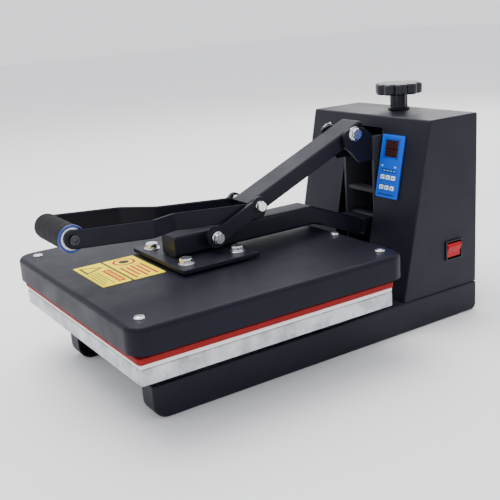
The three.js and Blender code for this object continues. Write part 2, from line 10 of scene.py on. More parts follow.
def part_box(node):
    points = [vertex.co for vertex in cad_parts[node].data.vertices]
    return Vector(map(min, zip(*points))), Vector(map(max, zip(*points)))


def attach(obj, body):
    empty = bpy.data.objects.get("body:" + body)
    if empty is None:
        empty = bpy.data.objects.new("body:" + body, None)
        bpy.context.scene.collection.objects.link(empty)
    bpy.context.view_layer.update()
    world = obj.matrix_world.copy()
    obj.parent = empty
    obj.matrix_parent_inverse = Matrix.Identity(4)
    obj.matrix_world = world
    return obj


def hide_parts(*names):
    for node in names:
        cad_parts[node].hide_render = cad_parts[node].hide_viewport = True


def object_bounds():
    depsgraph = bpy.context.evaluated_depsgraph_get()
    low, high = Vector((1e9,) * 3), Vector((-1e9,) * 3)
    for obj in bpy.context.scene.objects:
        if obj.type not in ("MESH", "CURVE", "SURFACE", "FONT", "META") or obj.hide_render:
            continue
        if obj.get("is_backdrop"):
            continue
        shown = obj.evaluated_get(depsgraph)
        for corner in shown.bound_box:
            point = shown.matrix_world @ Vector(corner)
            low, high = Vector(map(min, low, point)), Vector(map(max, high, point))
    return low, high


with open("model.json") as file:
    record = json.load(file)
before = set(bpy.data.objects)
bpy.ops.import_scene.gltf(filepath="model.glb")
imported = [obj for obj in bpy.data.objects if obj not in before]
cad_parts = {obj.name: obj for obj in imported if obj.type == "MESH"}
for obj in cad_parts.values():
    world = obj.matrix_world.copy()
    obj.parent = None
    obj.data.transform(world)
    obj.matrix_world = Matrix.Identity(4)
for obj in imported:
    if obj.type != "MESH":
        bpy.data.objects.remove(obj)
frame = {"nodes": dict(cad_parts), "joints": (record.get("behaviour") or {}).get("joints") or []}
CAD_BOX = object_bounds()

bl_info = {
    "name": "Heat press",
    "version": (1, 0, 0),
    "blender": (4, 5, 0),
    "location": "3D View > Sidebar > Heat press",
    "description": "Builds a clamshell heat press piece by piece around its packed frame",
    "category": "Add Mesh",
}

# Pieces are drawn in millimetres, with Y counted from the base plate's front edge.
MM = 0.001
FRONT_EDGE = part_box("base_plate")[0].y
Box = namedtuple("Box", "x0 x1 y0 y1 z0 z1")
Point = namedtuple("Point", "x y z")


def to_frame(point):
    """A drawn point in the press's own frame, in metres."""
    return Vector((point[0] * MM, point[1] * MM + FRONT_EDGE, point[2] * MM))


def to_drawing(point):
    """A point of the press's frame in drawing millimetres."""
    return Vector((point[0] / MM, (point[1] - FRONT_EDGE) / MM, point[2] / MM))


def span(node):
    """The box that a CAD node fills, in drawing millimetres."""
    low, high = (to_drawing(corner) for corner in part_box(node))
    return Box(low.x, high.x, low.y, high.y, low.z, high.z)


def middle(box):
    """The middle of a box."""
    return Point((box.x0 + box.x1) / 2, (box.y0 + box.y1) / 2, (box.z0 + box.z1) / 2)


def pivot(joint):
    """The point that a hinge turns about, in drawing millimetres."""
    return to_drawing(next(j["pos_m"] for j in frame["joints"] if j["name"] == joint))


HINGE = pivot("platen_hinge")
LEVER_PIVOT = pivot("lever_pivot")
LINK_PIVOT = pivot("link_pivot")
KNOB_AXIS = pivot("knob_turn")
KNEE = Vector((0, *middle(span("knee_tube"))[1:]))
GRIP = Vector((0, *middle(span("foam_grip"))[1:]))

# How close counts as the same height, and how square to a way counts as facing it.
NEAR = 0.01
FACING = 0.9

# Sheet thicknesses of the folded pieces.
FOOT_WALL, TRAY_WALL, CASING_WALL, COVER_WALL, LEVER_WALL = 2.5, 2.4, 2.0, 1.6, 3.0

# The tower's profile, seen from the side, and the direction up its sloping front.
TOWER_FOOT = Vector((451.1, 45.8))
TOWER_BROW = Vector((505.6, 305.8))
TOWER_BACK = 601.7
TOWER_HALF = 132.4
RISE = (TOWER_BROW - TOWER_FOOT).normalized()
SLOT_HALF, SLOT_LOW, SLOT_TOP = 41.0, 60.0, 247.7
PANEL = Box(42.5, 89.4, 145.6, 239.5, 0.3, 2.7)
DISPLAY = Box(51.3, 78.2, 206.3, 231.1, 0.5, 2.3)


# ------------------------------------------------------------------ drawing helpers

def along_x(y=0.0, z=0.0):
    """Draws in Y and Z and carries the drawing along X."""
    return lambda a, b, t: (t, y + a, z + b)


def along_y(x=0.0, z=0.0):
    """Draws in X and Z and carries the drawing along Y."""
    return lambda a, b, t: (x + a, t, z + b)


def along_z(x=0.0, y=0.0):
    """Draws in X and Y and carries the drawing along Z."""
    return lambda a, b, t: (x + a, y + b, t)


def on_front(x=0.0, s=0.0):
    """Draws on the tower's sloping front: X across, s up the slope, t out of it."""
    def place(a, b, t):
        up = s + b
        return (x + a, TOWER_FOOT.x + up * RISE.x - t * RISE.y,
                TOWER_FOOT.y + up * RISE.y + t * RISE.x)
    return place


def along_lever(a, b, t):
    """Draws beside the lever: a runs from the knee to the pivot, b is square to it."""
    way = Vector((LEVER_PIVOT.y - KNEE.y, LEVER_PIVOT.z - KNEE.z)).normalized()
    return (t, KNEE.y + a * way.x - b * way.y, KNEE.z + a * way.y + b * way.x)


def fillet(corners, steps=6):
    """A closed outline from corners (a, b) or (a, b, radius), its corners rounded."""
    points = []
    for i, corner in enumerate(corners):
        here = Vector(corner[:2])
        radius = corner[2] if len(corner) > 2 else 0
        if radius <= 0:
            points.append(here)
            continue
        before = (Vector(corners[i - 1][:2]) - here).normalized()
        after = (Vector(corners[(i + 1) % len(corners)][:2]) - here).normalized()
        half = before.angle(after) / 2
        centre = here + (before + after).normalized() * radius / math.sin(half)
        start = here + before * radius / math.tan(half) - centre
        end = here + after * radius / math.tan(half) - centre
        turn = start.angle(end)
        for k in range(steps + 1):
            t = k / steps
            mixed = start * math.sin((1 - t) * turn) + end * math.sin(t * turn)
            points.append(centre + mixed / math.sin(turn))
    return [(p.x, p.y) for p in points]


def rounded(a0, a1, b0, b1, radius, steps=6):
    """A rectangle with rounded corners."""
    corners = [(a0, b0), (a1, b0), (a1, b1), (a0, b1)]
    return fillet([(a, b, radius) for a, b in corners], steps)


def centred(half_a, half_b, radius, steps):
    """A rectangle with rounded corners about the drawing's origin."""
    return rounded(-half_a, half_a, -half_b, half_b, radius, steps)


def inset(a0, a1, b0, b1, margin):
    """A nearly square-cornered opening that lies a margin inside a rectangle."""
    return rounded(a0 + margin, a1 - margin, b0 + margin, b1 - margin, 1, 2)


def plan(box, radius, steps):
    """A box seen from above, with rounded corners."""
    return rounded(box.x0, box.x1, box.y0, box.y1, radius, steps)


def circle(radius, steps):
    """A ring of points about the drawing's origin."""
    turns = (2 * math.pi * k / steps for k in range(steps))
    return [(radius * math.cos(t), radius * math.sin(t)) for t in turns]


def outward(bm):
    """Merges doubles, and turns every face of a closed drawing outwards."""
    bmesh.ops.remove_doubles(bm, verts=bm.verts, dist=1e-4)
    bmesh.ops.recalc_face_normals(bm, faces=bm.faces)
    return bm


def stack(rings):
    """A skin over rings of equally many points, closed with a face at both ends."""
    bm = bmesh.new()
    rows = [[bm.verts.new(p) for p in ring] for ring in rings]
    for low, high in zip(rows, rows[1:]):
        for i in range(len(low)):
            j = (i + 1) % len(low)
            bm.faces.new((low[i], low[j], high[j], high[i]))
    bm.faces.new(rows[0][::-1])
    bm.faces.new(rows[-1])
    return outward(bm)


def slab(outline, low, high, place=along_z()):
    """An outline carried from low to high."""
    return stack([[place(a, b, t) for a, b in outline] for t in (low, high)])


def lathe(profile, place, steps=48):
    """A closed turned shape from (radius, distance along the axis) pairs."""
    rings = [[place(a, b, t) for a, b in circle(max(r, 0.01), steps)] for r, t in profile]
    return stack(rings)


def sleeve(profile, place, steps=48):
    """A turned ring: the profile is a closed loop that stays clear of the axis."""
    bm = bmesh.new()
    rows = [[bm.verts.new(place(a, b, t)) for a, b in circle(r, steps)] for r, t in profile]
    for n, low in enumerate(rows):
        high = rows[(n + 1) % len(rows)]
        for i in range(steps):
            j = (i + 1) % steps
            bm.faces.new((low[i], low[j], high[j], high[i]))
    return outward(bm)


def hex_head(width, low, high, place, chamfer=1.2, turn=0.0):
    """A hexagon head whose outer corners are turned down to a cone."""
    corner = width / math.sqrt(3)
    rings = []
    for t, reach in ((low, corner), (high - chamfer * math.copysign(1, high - low), corner),
                     (high, width / 2 * 0.97)):
        ring = []
        for k in range(24):
            angle = turn + 2 * math.pi * k / 24
            flat = width / 2 / math.cos((angle - turn) % (math.pi / 3) - math.pi / 6)
            ring.append(place(min(flat, reach) * math.cos(angle),
                              min(flat, reach) * math.sin(angle), t))
        rings.append(ring)
    return stack(rings)


def merge(*drawings):
    """Several drawings as one."""
    whole = bmesh.new()
    for bm in drawings:
        mesh = bpy.data.meshes.new("drawing")
        bm.to_mesh(mesh)
        whole.from_mesh(mesh)
        bm.free()
        bpy.data.meshes.remove(mesh)
    return whole


def paint_faces(bm, index):
    """Gives every face of a drawing another of the piece's finishes."""
    for face in bm.faces:
        face.material_index = index


def round_edges(bm, test, radius, steps=4, least=20):
    """Rounds the edges whose two ends together pass the test."""
    edges = [e for e in bm.edges if len(e.link_faces) == 2
             and e.calc_face_angle(0) > math.radians(least)
             and test(e.verts[0].co, e.verts[1].co)]
    bmesh.ops.bevel(bm, geom=edges, offset=radius, segments=steps, profile=0.5,
                    affect="EDGES", offset_type="OFFSET", clamp_overlap=True)
    return bm


def level(a, b):
    """Whether an edge runs level."""
    return abs(a.z - b.z) < NEAR


def at_top(box):
    """A test for the edges along the top of a box."""
    return lambda a, b: a.z + b.z > 2 * box.z1 - NEAR


def faces_down(normal):
    """Whether a face looks down."""
    return normal.z < -FACING


def open_up(bm, test):
    """Removes the faces whose normal passes the test."""
    bm.normal_update()
    gone = [f for f in bm.faces if test(f.normal)]
    bmesh.ops.delete(bm, geom=gone, context="FACES")
    return bm


def new_object(name, mesh):
    """An object at the origin that holds a mesh."""
    obj = bpy.data.objects.new(name, mesh)
    bpy.context.scene.collection.objects.link(obj)
    return obj


def settled(obj):
    """The mesh that an object's modifiers make."""
    bpy.context.view_layer.update()
    graph = bpy.context.evaluated_depsgraph_get()
    return bpy.data.meshes.new_from_object(obj.evaluated_get(graph))


def worked(bm, kind, tool=None, **settings):
    """A drawing after one modifier, with a second drawing as its tool where it needs one."""
    meshes = [bpy.data.meshes.new("drawing") for _ in range(2)]
    bm.to_mesh(meshes[0])
    bm.free()
    obj = new_object("drawing", meshes[0])
    helpers = [obj]
    modifier = obj.modifiers.new(kind, kind)
    if tool:
        tool.to_mesh(meshes[1])
        tool.free()
        helpers.append(new_object("tool", meshes[1]))
        modifier.object = helpers[1]
    for key, value in settings.items():
        setattr(modifier, key, value)
    mesh = settled(obj)
    result = bmesh.new()
    result.from_mesh(mesh)
    for helper in helpers:
        bpy.data.objects.remove(helper)
    for used in (*meshes, mesh):
        bpy.data.meshes.remove(used)
    return result


def walled(bm, wall):
    """An open skin given a wall on its inner side."""
    return worked(bm, "SOLIDIFY", thickness=wall, offset=-1, use_even_offset=True)


def carve(bm, *tools, operation="DIFFERENCE"):
    """Cuts tools out of a closed drawing."""
    for tool in tools:
        bm = worked(bm, "BOOLEAN", tool, operation=operation, solver="EXACT")
    return bm


def from_node(node):
    """A drawing of a CAD node, its triangles merged into flat faces."""
    bm = bmesh.new()
    bm.from_mesh(frame["nodes"][node].data)
    for vert in bm.verts:
        vert.co = to_drawing(vert.co)
    bmesh.ops.remove_doubles(bm, verts=bm.verts, dist=1e-3)
    bmesh.ops.dissolve_limit(bm, angle_limit=math.radians(0.5), verts=bm.verts, edges=bm.edges)
    return bm


def map_print(bm, flat, size):
    """Gives a drawing a UV map: flat turns a point into two lengths, over the print's size."""
    layer = bm.loops.layers.uv.verify()
    for face in bm.faces:
        for loop in face.loops:
            a, b = flat(loop.vert.co)
            loop[layer].uv = (a / size[0], b / size[1])


def piece(name, bm, body, slot, stands_for=(), edge=0.0, steps=3, least=32, finish=()):
    """Turns a drawing into a finished piece that rides on a body.

    Its finish is the one named like its slot, unless finish names others.
    """
    for vert in bm.verts:
        vert.co = to_frame(vert.co)
    mesh = bpy.data.meshes.new(name)
    bm.to_mesh(mesh)
    bm.free()
    obj = new_object(name, mesh)
    for key in finish or [slot]:
        mesh.materials.append(finishes()[key])
    mesh.polygons.foreach_set("use_smooth", [True] * len(mesh.polygons))
    mesh.set_sharp_from_angle(angle=math.radians(least + 4))
    if edge:
        bevel = obj.modifiers.new("edges", "BEVEL")
        bevel.width, bevel.segments = edge * MM, steps
        bevel.limit_method, bevel.angle_limit = "ANGLE", math.radians(least)
    weighted = obj.modifiers.new("normals", "WEIGHTED_NORMAL")
    weighted.keep_sharp = not edge
    final = settled(obj)
    obj.modifiers.clear()
    obj.data = final
    final.name = name
    bpy.data.meshes.remove(mesh)
    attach(obj, body)
    if stands_for:
        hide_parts(*stands_for)
    return obj


# ------------------------------------------------------------------ geometry nodes

def scatter_tree():
    """A node tree that stands one fastener at each point, turned to the point's facing."""
    tree = bpy.data.node_groups.new("fasteners_on_points", "GeometryNodeTree")
    sockets = {}
    for name, kind in (("Places", "NodeSocketGeometry"), ("Fastener", "NodeSocketObject"),
                       ("Size", "NodeSocketFloat"), ("Spin", "NodeSocketFloat"),
                       ("Seed", "NodeSocketInt"), ("Finish", "NodeSocketMaterial")):
        sockets[name] = tree.interface.new_socket(name, in_out="INPUT", socket_type=kind)
    tree.interface.new_socket("Pieces", in_out="OUTPUT", socket_type="NodeSocketGeometry")
    new, link = tree.nodes.new, tree.links.new
    inputs, output = new("NodeGroupInput"), new("NodeGroupOutput")
    source = new("GeometryNodeObjectInfo")
    facing = new("GeometryNodeInputNamedAttribute")
    facing.data_type = "FLOAT_VECTOR"
    facing.inputs["Name"].default_value = "facing"
    align = new("FunctionNodeAlignRotationToVector")
    align.axis = "Z"
    stand = new("GeometryNodeInstanceOnPoints")
    spin = new("FunctionNodeRandomValue")
    turn = new("ShaderNodeCombineXYZ")
    rotate = new("GeometryNodeRotateInstances")
    realize, paint = new("GeometryNodeRealizeInstances"), new("GeometryNodeSetMaterial")
    link(inputs.outputs["Places"], stand.inputs["Points"])
    link(inputs.outputs["Fastener"], source.inputs["Object"])
    link(source.outputs["Geometry"], stand.inputs["Instance"])
    link(facing.outputs["Attribute"], align.inputs["Vector"])
    link(align.outputs["Rotation"], stand.inputs["Rotation"])
    link(inputs.outputs["Size"], stand.inputs["Scale"])
    spin_max = next(s for s in spin.inputs if s.name == "Max" and s.type == "VALUE")
    spin_out = next(s for s in spin.outputs if s.type == "VALUE")
    link(inputs.outputs["Spin"], spin_max)
    link(inputs.outputs["Seed"], spin.inputs["Seed"])
    link(spin_out, turn.inputs["Z"])
    link(stand.outputs["Instances"], rotate.inputs["Instances"])
    link(turn.outputs["Vector"], rotate.inputs["Rotation"])
    link(rotate.outputs["Instances"], realize.inputs["Geometry"])
    link(realize.outputs["Geometry"], paint.inputs["Geometry"])
    link(inputs.outputs["Finish"], paint.inputs["Material"])
    link(paint.outputs["Geometry"], output.inputs["Pieces"])
    return tree, {name: socket.identifier for name, socket in sockets.items()}


def scatter(name, fastener, places, body, slot, stands_for=(), seed=0):
    """One plain mesh of like fasteners: places are drawn points with their facings."""
    tree, sockets = scatter_tree()
    part_mesh = bpy.data.meshes.new("fastener")
    for vert in fastener.verts:
        vert.co *= MM
    fastener.to_mesh(part_mesh)
    fastener.free()
    part = new_object("fastener", part_mesh)
    points = bpy.data.meshes.new("places")
    points.from_pydata([to_frame(at) for at, _ in places], [], [])
    facing = points.attributes.new("facing", "FLOAT_VECTOR", "POINT")
    for row, (_, way) in zip(facing.data, places):
        row.vector = Vector(way).normalized()
    holder = new_object("places", points)
    modifier = holder.modifiers.new("fasteners", "NODES")
    modifier.node_group = tree
    for key, value in (("Fastener", part), ("Size", 1.0), ("Spin", math.tau),
                       ("Seed", seed), ("Finish", finishes()[slot])):
        modifier[sockets[key]] = value
    mesh = settled(holder)
    for helper in (holder, part):
        bpy.data.objects.remove(helper)
    bpy.data.node_groups.remove(tree)
    bm = bmesh.new()
    bm.from_mesh(mesh)
    bpy.data.meshes.remove(mesh)
    for vert in bm.verts:
        vert.co = to_drawing(vert.co)
    return piece(name, bm, body, slot, stands_for)


# ------------------------------------------------------------------ finishes

SURFACE_SOCKETS = {
    "roughness": "Roughness", "metallic": "Metallic", "sheen": "Sheen Weight",
    "coat": "Coat Weight", "coat_roughness": "Coat Roughness",
    "specular": "Specular IOR Level", "tint": "Specular Tint",
}


class Finish:
    """A node material under construction."""

    def __init__(self, name, colour, **fixed):
        self.material = bpy.data.materials.new(name)
        self.material.use_nodes = True
        self.tree = self.material.node_tree
        self.surface = self.tree.nodes["Principled BSDF"]
        self.surface.inputs["Base Color"].default_value = (*colour, 1)
        self.material.diffuse_color = (*colour, 1)
        for key, value in fixed.items():
            self.surface.inputs[SURFACE_SOCKETS[key]].default_value = value

    def add(self, kind, sockets=(), **settings):
        """A node with its settings, and its inputs set or linked."""
        node = self.tree.nodes.new(kind)
        for key, value in settings.items():
            setattr(node, key, value)
        for key, value in dict(sockets).items():
            if isinstance(value, bpy.types.NodeSocket):
                self.tree.links.new(value, node.inputs[key])
            else:
                node.inputs[key].default_value = value
        return node

    def place(self, stretch=(1, 1, 1)):
        """Coordinates on the piece, stretched along its axes."""
        source = self.add("ShaderNodeTexCoord")
        node = self.add("ShaderNodeMapping", {
            "Vector": source.outputs["Object"], "Scale": stretch})
        return node.outputs["Vector"]

    def speckle(self, scale, detail=3.0, stretch=(1, 1, 1), rough=0.5):
        """A noise value."""
        node = self.add("ShaderNodeTexNoise", {
            "Vector": self.place(stretch), "Scale": scale, "Detail": detail, "Roughness": rough})
        return node.outputs["Fac"]

    def cells(self, scale, feature="F1", output="Distance"):
        """A cell pattern."""
        node = self.add("ShaderNodeTexVoronoi", {
            "Vector": self.place(), "Scale": scale}, feature=feature)
        return node.outputs[output]

    def ranged(self, value, low, high, source=(0.3, 0.7)):
        """A value moved from one range to another."""
        node = self.add("ShaderNodeMapRange", {
            "Value": value, "From Min": source[0], "From Max": source[1],
            "To Min": low, "To Max": high})
        return node.outputs["Result"]

    def blend(self, amount, first, second, mode="MIX"):
        """Two colours mixed by an amount."""
        node = self.add("ShaderNodeMix", data_type="RGBA", blend_type=mode)
        sockets = [s for s in node.inputs if s.enabled]
        for socket, value in zip(sockets, (amount, first, second)):
            if isinstance(value, bpy.types.NodeSocket):
                self.tree.links.new(value, socket)
            elif isinstance(value, tuple):
                socket.default_value = (*value, 1)[:4]
            else:
                socket.default_value = value
        return next(s for s in node.outputs if s.enabled)

    def sum(self, first, second, operation="ADD"):
        """Arithmetic on two values."""
        node = self.add("ShaderNodeMath", {0: first, 1: second}, operation=operation)
        return node.outputs[0]

    def drive(self, socket, value):
        """Links a value to one of the surface's inputs."""
        self.tree.links.new(value, self.surface.inputs[socket])

    def raise_by(self, height, distance, strength=1.0):
        """Bump from a height."""
        node = self.add("ShaderNodeBump", {
            "Height": height, "Distance": distance, "Strength": strength})
        self.drive("Normal", node.outputs["Normal"])


class Print:
    """Flat marks on a printed face, placed by the face's own UV map."""

    def __init__(self, finish, size):
        self.finish, self.size = finish, size
        source = finish.add("ShaderNodeUVMap")
        split = finish.add("ShaderNodeSeparateXYZ", {"Vector": source.outputs["UV"]})
        self.across = finish.sum(split.outputs["X"], size[0], "MULTIPLY")
        self.along = finish.sum(split.outputs["Y"], size[1], "MULTIPLY")

    def away(self, value, centre):
        """Distance of a coordinate from a centre."""
        shift = self.finish.sum(value, centre, "SUBTRACT")
        return self.finish.sum(shift, 0.0, "ABSOLUTE")

    def bar(self, a0, a1, b0, b1):
        """1 inside a rectangle."""
        f = self.finish
        wide = f.sum(self.away(self.across, (a0 + a1) / 2), (a1 - a0) / 2, "LESS_THAN")
        high = f.sum(self.away(self.along, (b0 + b1) / 2), (b1 - b0) / 2, "LESS_THAN")
        return f.sum(wide, high, "MULTIPLY")

    def disc(self, a, b, radius):
        """1 inside a circle."""
        f = self.finish
        first = f.sum(f.sum(self.across, a, "SUBTRACT"), 2.0, "POWER")
        second = f.sum(f.sum(self.along, b, "SUBTRACT"), 2.0, "POWER")
        return f.sum(f.sum(first, second), radius * radius, "LESS_THAN")

    def wedge(self, a, b0, b1, half):
        """1 inside a triangle that stands on b0 with its tip at b1."""
        f = self.finish
        fall = f.sum(f.sum(b1, self.along, "SUBTRACT"), half / (b1 - b0), "MULTIPLY")
        inside = f.sum(self.away(self.across, a), fall, "LESS_THAN")
        return f.sum(inside, f.sum(self.along, b0, "GREATER_THAN"), "MULTIPLY")

    def without(self, whole, part):
        """One mark with another cut out of it."""
        return self.finish.sum(self.finish.sum(whole, part, "SUBTRACT"), 0.0, "MAXIMUM")

    def lay(self, base, marks):
        """A base colour with each mark printed over the last."""
        for mark, colour in marks:
            base = self.finish.blend(mark, base, colour)
        self.finish.drive("Base Color", base)


def shaded(colour, share):
    """A colour made darker or lighter, within what a colour socket takes."""
    return tuple(min(c * share, 1) for c in colour)


def powder_coat(name, colour, roughness, specular=0.26):
    """Satin powder coat: fine orange peel, faint cloudiness and a little dust."""
    # The bluish specular tint is a painted reflection: it gives the coat's reflections the bluish
    # colour of the surrounding light.
    f = Finish(name, colour, roughness=roughness, specular=specular, coat=0.02, coat_roughness=0.3,
               tint=(0.86, 0.87, 1.0, 1))
    cloud = f.ranged(f.speckle(7, 4), 0.86, 1.16)
    dark = f.blend(1.0, colour, cloud, "MULTIPLY")
    dust = f.ranged(f.speckle(2600, 2), 0, 0.4, (0.68, 0.82))
    pale = tuple(min(c * 3 + 0.01, 1) for c in colour)
    f.drive("Base Color", f.blend(dust, dark, pale))
    f.drive("Roughness", f.ranged(f.speckle(24, 5), roughness - 0.05, roughness + 0.07))
    peel = f.sum(f.speckle(520, 2), f.sum(f.speckle(1500, 1), 0.35, "MULTIPLY"))
    f.raise_by(peel, 0.00016, 0.55)
    return f.material


def galvanised_sheet(name, colour):
    """Zinc-dipped sheet with soft spangle and rubbed streaks."""
    f = Finish(name, colour, roughness=0.5, metallic=0.55)
    spangle = f.cells(95, output="Color")
    grey = f.add("ShaderNodeRGBToBW", {"Color": spangle}).outputs["Val"]
    tone = f.sum(f.ranged(grey, -0.2, 0.16, (0, 1)), f.ranged(f.speckle(34, 7), -0.34, 0.2))
    f.drive("Base Color", f.blend(1.0, colour, f.sum(tone, 1.0), "MULTIPLY"))
    f.drive("Roughness", f.ranged(grey, 0.4, 0.6, (0, 1)))
    f.raise_by(f.speckle(420, 4, (1, 1, 0.3)), 0.00008, 0.6)
    return f.material


def bright_zinc(name, colour, roughness):
    """Bright plated steel with a faint haze."""
    f = Finish(name, colour, roughness=roughness, metallic=1.0)
    f.drive("Base Color", f.blend(f.ranged(f.speckle(160, 4), 0, 0.6), colour,
                                  shaded(colour, 0.72)))
    f.drive("Roughness", f.ranged(f.speckle(420, 4), roughness - 0.05, roughness + 0.12))
    f.raise_by(f.speckle(900, 3), 0.00004, 0.5)
    return f.material


def milled_aluminium(name, colour):
    """Machined plate with fine parallel tool marks."""
    f = Finish(name, colour, roughness=0.34, metallic=1.0)
    marks = f.speckle(500, 3, (0.04, 1, 1))
    f.drive("Base Color", f.blend(f.ranged(marks, 0, 1), colour, shaded(colour, 0.82)))
    f.drive("Roughness", f.ranged(f.speckle(60, 4), 0.28, 0.42))
    f.raise_by(marks, 0.00006, 0.6)
    return f.material


def pressed_felt(name, colour):
    """Pressed wool felt: matted fibres and soft shade."""
    f = Finish(name, colour, roughness=0.95, sheen=0.35, specular=0.2)
    fibres = f.sum(f.speckle(900, 6, (1, 0.35, 1), 0.7), f.speckle(1300, 5, (0.35, 1, 1), 0.7))
    shade = f.ranged(fibres, 0.0, 1.0, (0.7, 1.3))
    f.drive("Base Color", f.blend(shade, shaded(colour, 0.78), colour))
    f.raise_by(fibres, 0.0006, 0.8)
    return f.material


def silicone_foam(name, colour):
    """Red silicone sponge with small open pores all over, their insides painted darker as painted
    shade.
    """
    f = Finish(name, colour, roughness=0.7, specular=0.15)
    shaded_pores = f.ranged(f.cells(1100), 0, 1, (0.12, 0.5))
    # The pores are painted darker inside: painted shade in the pits that the same mask sinks as
    # bumps.
    f.drive("Base Color", f.blend(shaded_pores, shaded(colour, 0.55), colour))
    f.drive("Roughness", f.ranged(f.speckle(120, 4), 0.55, 0.75))
    f.raise_by(shaded_pores, 0.00025, 0.7)
    return f.material


def foam_rubber(name, colour):
    """Closed-cell foam: a dull, dimpled skin, its dimples painted darker as painted shade."""
    f = Finish(name, colour, roughness=0.9, sheen=0.04, specular=0.15)
    shaded_dimples = f.ranged(f.cells(850, "SMOOTH_F1"), 0, 1, (0.1, 0.55))
    # The dimples are painted darker at their bottoms: painted shade in the hollows that the same
    # mask sinks as bumps.
    f.drive("Base Color", f.blend(shaded_dimples, shaded(colour, 0.5), colour))
    f.drive("Roughness", f.ranged(f.speckle(90, 3), 0.82, 0.96))
    f.raise_by(f.sum(shaded_dimples, f.speckle(300, 4)), 0.00045, 0.7)
    return f.material


def moulded_plastic(name, colour, roughness, coat=0.0):
    """Moulded plastic with a fine spark-eroded grain."""
    # The bluish specular tint is a painted reflection: it gives the plastic's reflections the
    # bluish colour of the surrounding light.
    f = Finish(name, colour, roughness=roughness, specular=0.35, coat=coat, coat_roughness=0.15,
               tint=(0.9, 0.91, 1.0, 1))
    cloud = f.ranged(f.speckle(40, 3), 0.9, 1.1)
    f.drive("Base Color", f.blend(1.0, colour, cloud, "MULTIPLY"))
    f.drive("Roughness", f.ranged(f.speckle(200, 4), roughness - 0.04, roughness + 0.06))
    f.raise_by(f.speckle(2200, 2), 0.00005, 0.6)
    return f.material


def pressed_board(name, colour):
    """Pressed fibre board."""
    f = Finish(name, colour, roughness=0.9)
    flakes = f.speckle(320, 6, (1, 0.5, 3), 0.7)
    f.drive("Base Color", f.blend(f.ranged(flakes, 0, 1), shaded(colour, 0.7), colour))
    f.raise_by(flakes, 0.0004, 0.7)
    return f.material


STICKER_WIDTH, FRONT_STICKER_LENGTH, REAR_STICKER_LENGTH = 103, 41, 46.5


def sticker_vinyl(name, colour, length, draw):
    """Yellow vinyl with a darker edge, and the marks that draw gives for its print."""
    f = Finish(name, colour, roughness=0.55, specular=0.06)
    p = Print(f, (STICKER_WIDTH, length))
    edge = p.without(p.bar(0, STICKER_WIDTH, 0, length),
                     p.bar(0.9, STICKER_WIDTH - 0.9, 0.9, length - 0.9))
    base = f.blend(f.ranged(f.speckle(60, 3), 0, 0.3), colour, shaded(colour, 0.9))
    p.lay(base, [(edge, shaded(colour, 0.55)), *draw(p)])
    f.drive("Roughness", f.ranged(f.speckle(150, 3), 0.36, 0.5))
    f.raise_by(f.speckle(700, 2), 0.00003, 0.5)
    return f.material


def front_marks(p, colour, red, ink):
    """A triangle outline, a red box of short bars and plain lines."""
    triangle = p.without(p.wedge(22, 5.5, 36, 16), p.wedge(22, 8.6, 29.5, 11))
    marks = [(triangle, ink), (p.bar(38, 94, 26.5, 37), red)]
    marks += [(p.bar(42 + 12.5 * k, 51.5 + 12.5 * k, 29.6, 34), colour) for k in range(4)]
    marks += [(p.bar(44 + 12.5 * k, 49 + 12.5 * k, 31, 32.6), red) for k in range(4)]
    return marks + [(p.bar(40, 98 - 7 * (k % 3), 4.6 + 4.6 * k, 5.9 + 4.6 * k), ink)
                    for k in range(4)]


def rear_marks(p, red, ink):
    """A dot in a ring and plain lines."""
    ring = p.without(p.disc(20, 23.5, 16), p.disc(20, 23.5, 12.4))
    marks = [(p.disc(20, 23.5, 7.5), ink), (ring, red)]
    return marks + [(p.bar(43 + 4 * (k % 2), 97 - 9 * (k % 2), 6 + 7.4 * k, 9.4 + 7.4 * k), red)
                    for k in range(5)]


def membrane_print(name, colour):
    """The blue control panel: a brighter rim, two pale marks and darker bands round the keys."""
    f = Finish(name, colour, roughness=0.45, specular=0.14)
    wide, high = PANEL.x1 - PANEL.x0, PANEL.y1 - PANEL.y0
    p = Print(f, (wide, high))
    light = (0.25, 0.55, 0.85)
    dark = shaded(colour, 0.45)
    rim = p.without(p.bar(1.4, wide - 1.4, 1.4, high - 1.4), p.bar(2.0, wide - 2, 2, high - 2))
    frame_line = p.without(p.bar(6.6, 38.1, 58.6, 87.8), p.bar(7.4, 37.3, 59.4, 87))
    marks = [(rim, shaded(colour, 1.6)), (frame_line, dark),
             (p.bar(5.4, 9.6, 45.9, 48.4), light), (p.bar(33.2, 37.4, 45.6, 48.1), light),
             (p.bar(7.5, 37.5, 37.6, 43.4), dark), (p.bar(6.5, 38.5, 3.4, 6.0), dark)]
    marks += [(p.bar(11 + 7 * k, 15 + 7 * k, 39.9, 41.1), light) for k in range(4)]
    base = f.blend(f.ranged(f.speckle(30, 3), 0, 0.3), colour, shaded(colour, 0.85))
    p.lay(base, marks)
    f.drive("Roughness", f.ranged(f.speckle(90, 3), 0.38, 0.52))
    f.raise_by(f.speckle(1800, 2), 0.00004, 0.5)
    return f.material


def key_print(name, colour, mark):
    """A pale key cap with a plain square printed on it."""
    f = Finish(name, colour, roughness=0.45, specular=0.25)
    p = Print(f, (10, 10))
    square = p.without(p.bar(3.3, 6.7, 3.5, 6.5), p.bar(4.6, 5.4, 4.6, 5.4))
    p.lay(f.blend(f.ranged(f.speckle(200, 2), 0, 0.4), colour, shaded(colour, 0.93)),
          [(square, mark)])
    f.drive("Roughness", f.ranged(f.speckle(300, 3), 0.4, 0.52))
    f.raise_by(f.speckle(2400, 2), 0.00004, 0.5)
    return f.material


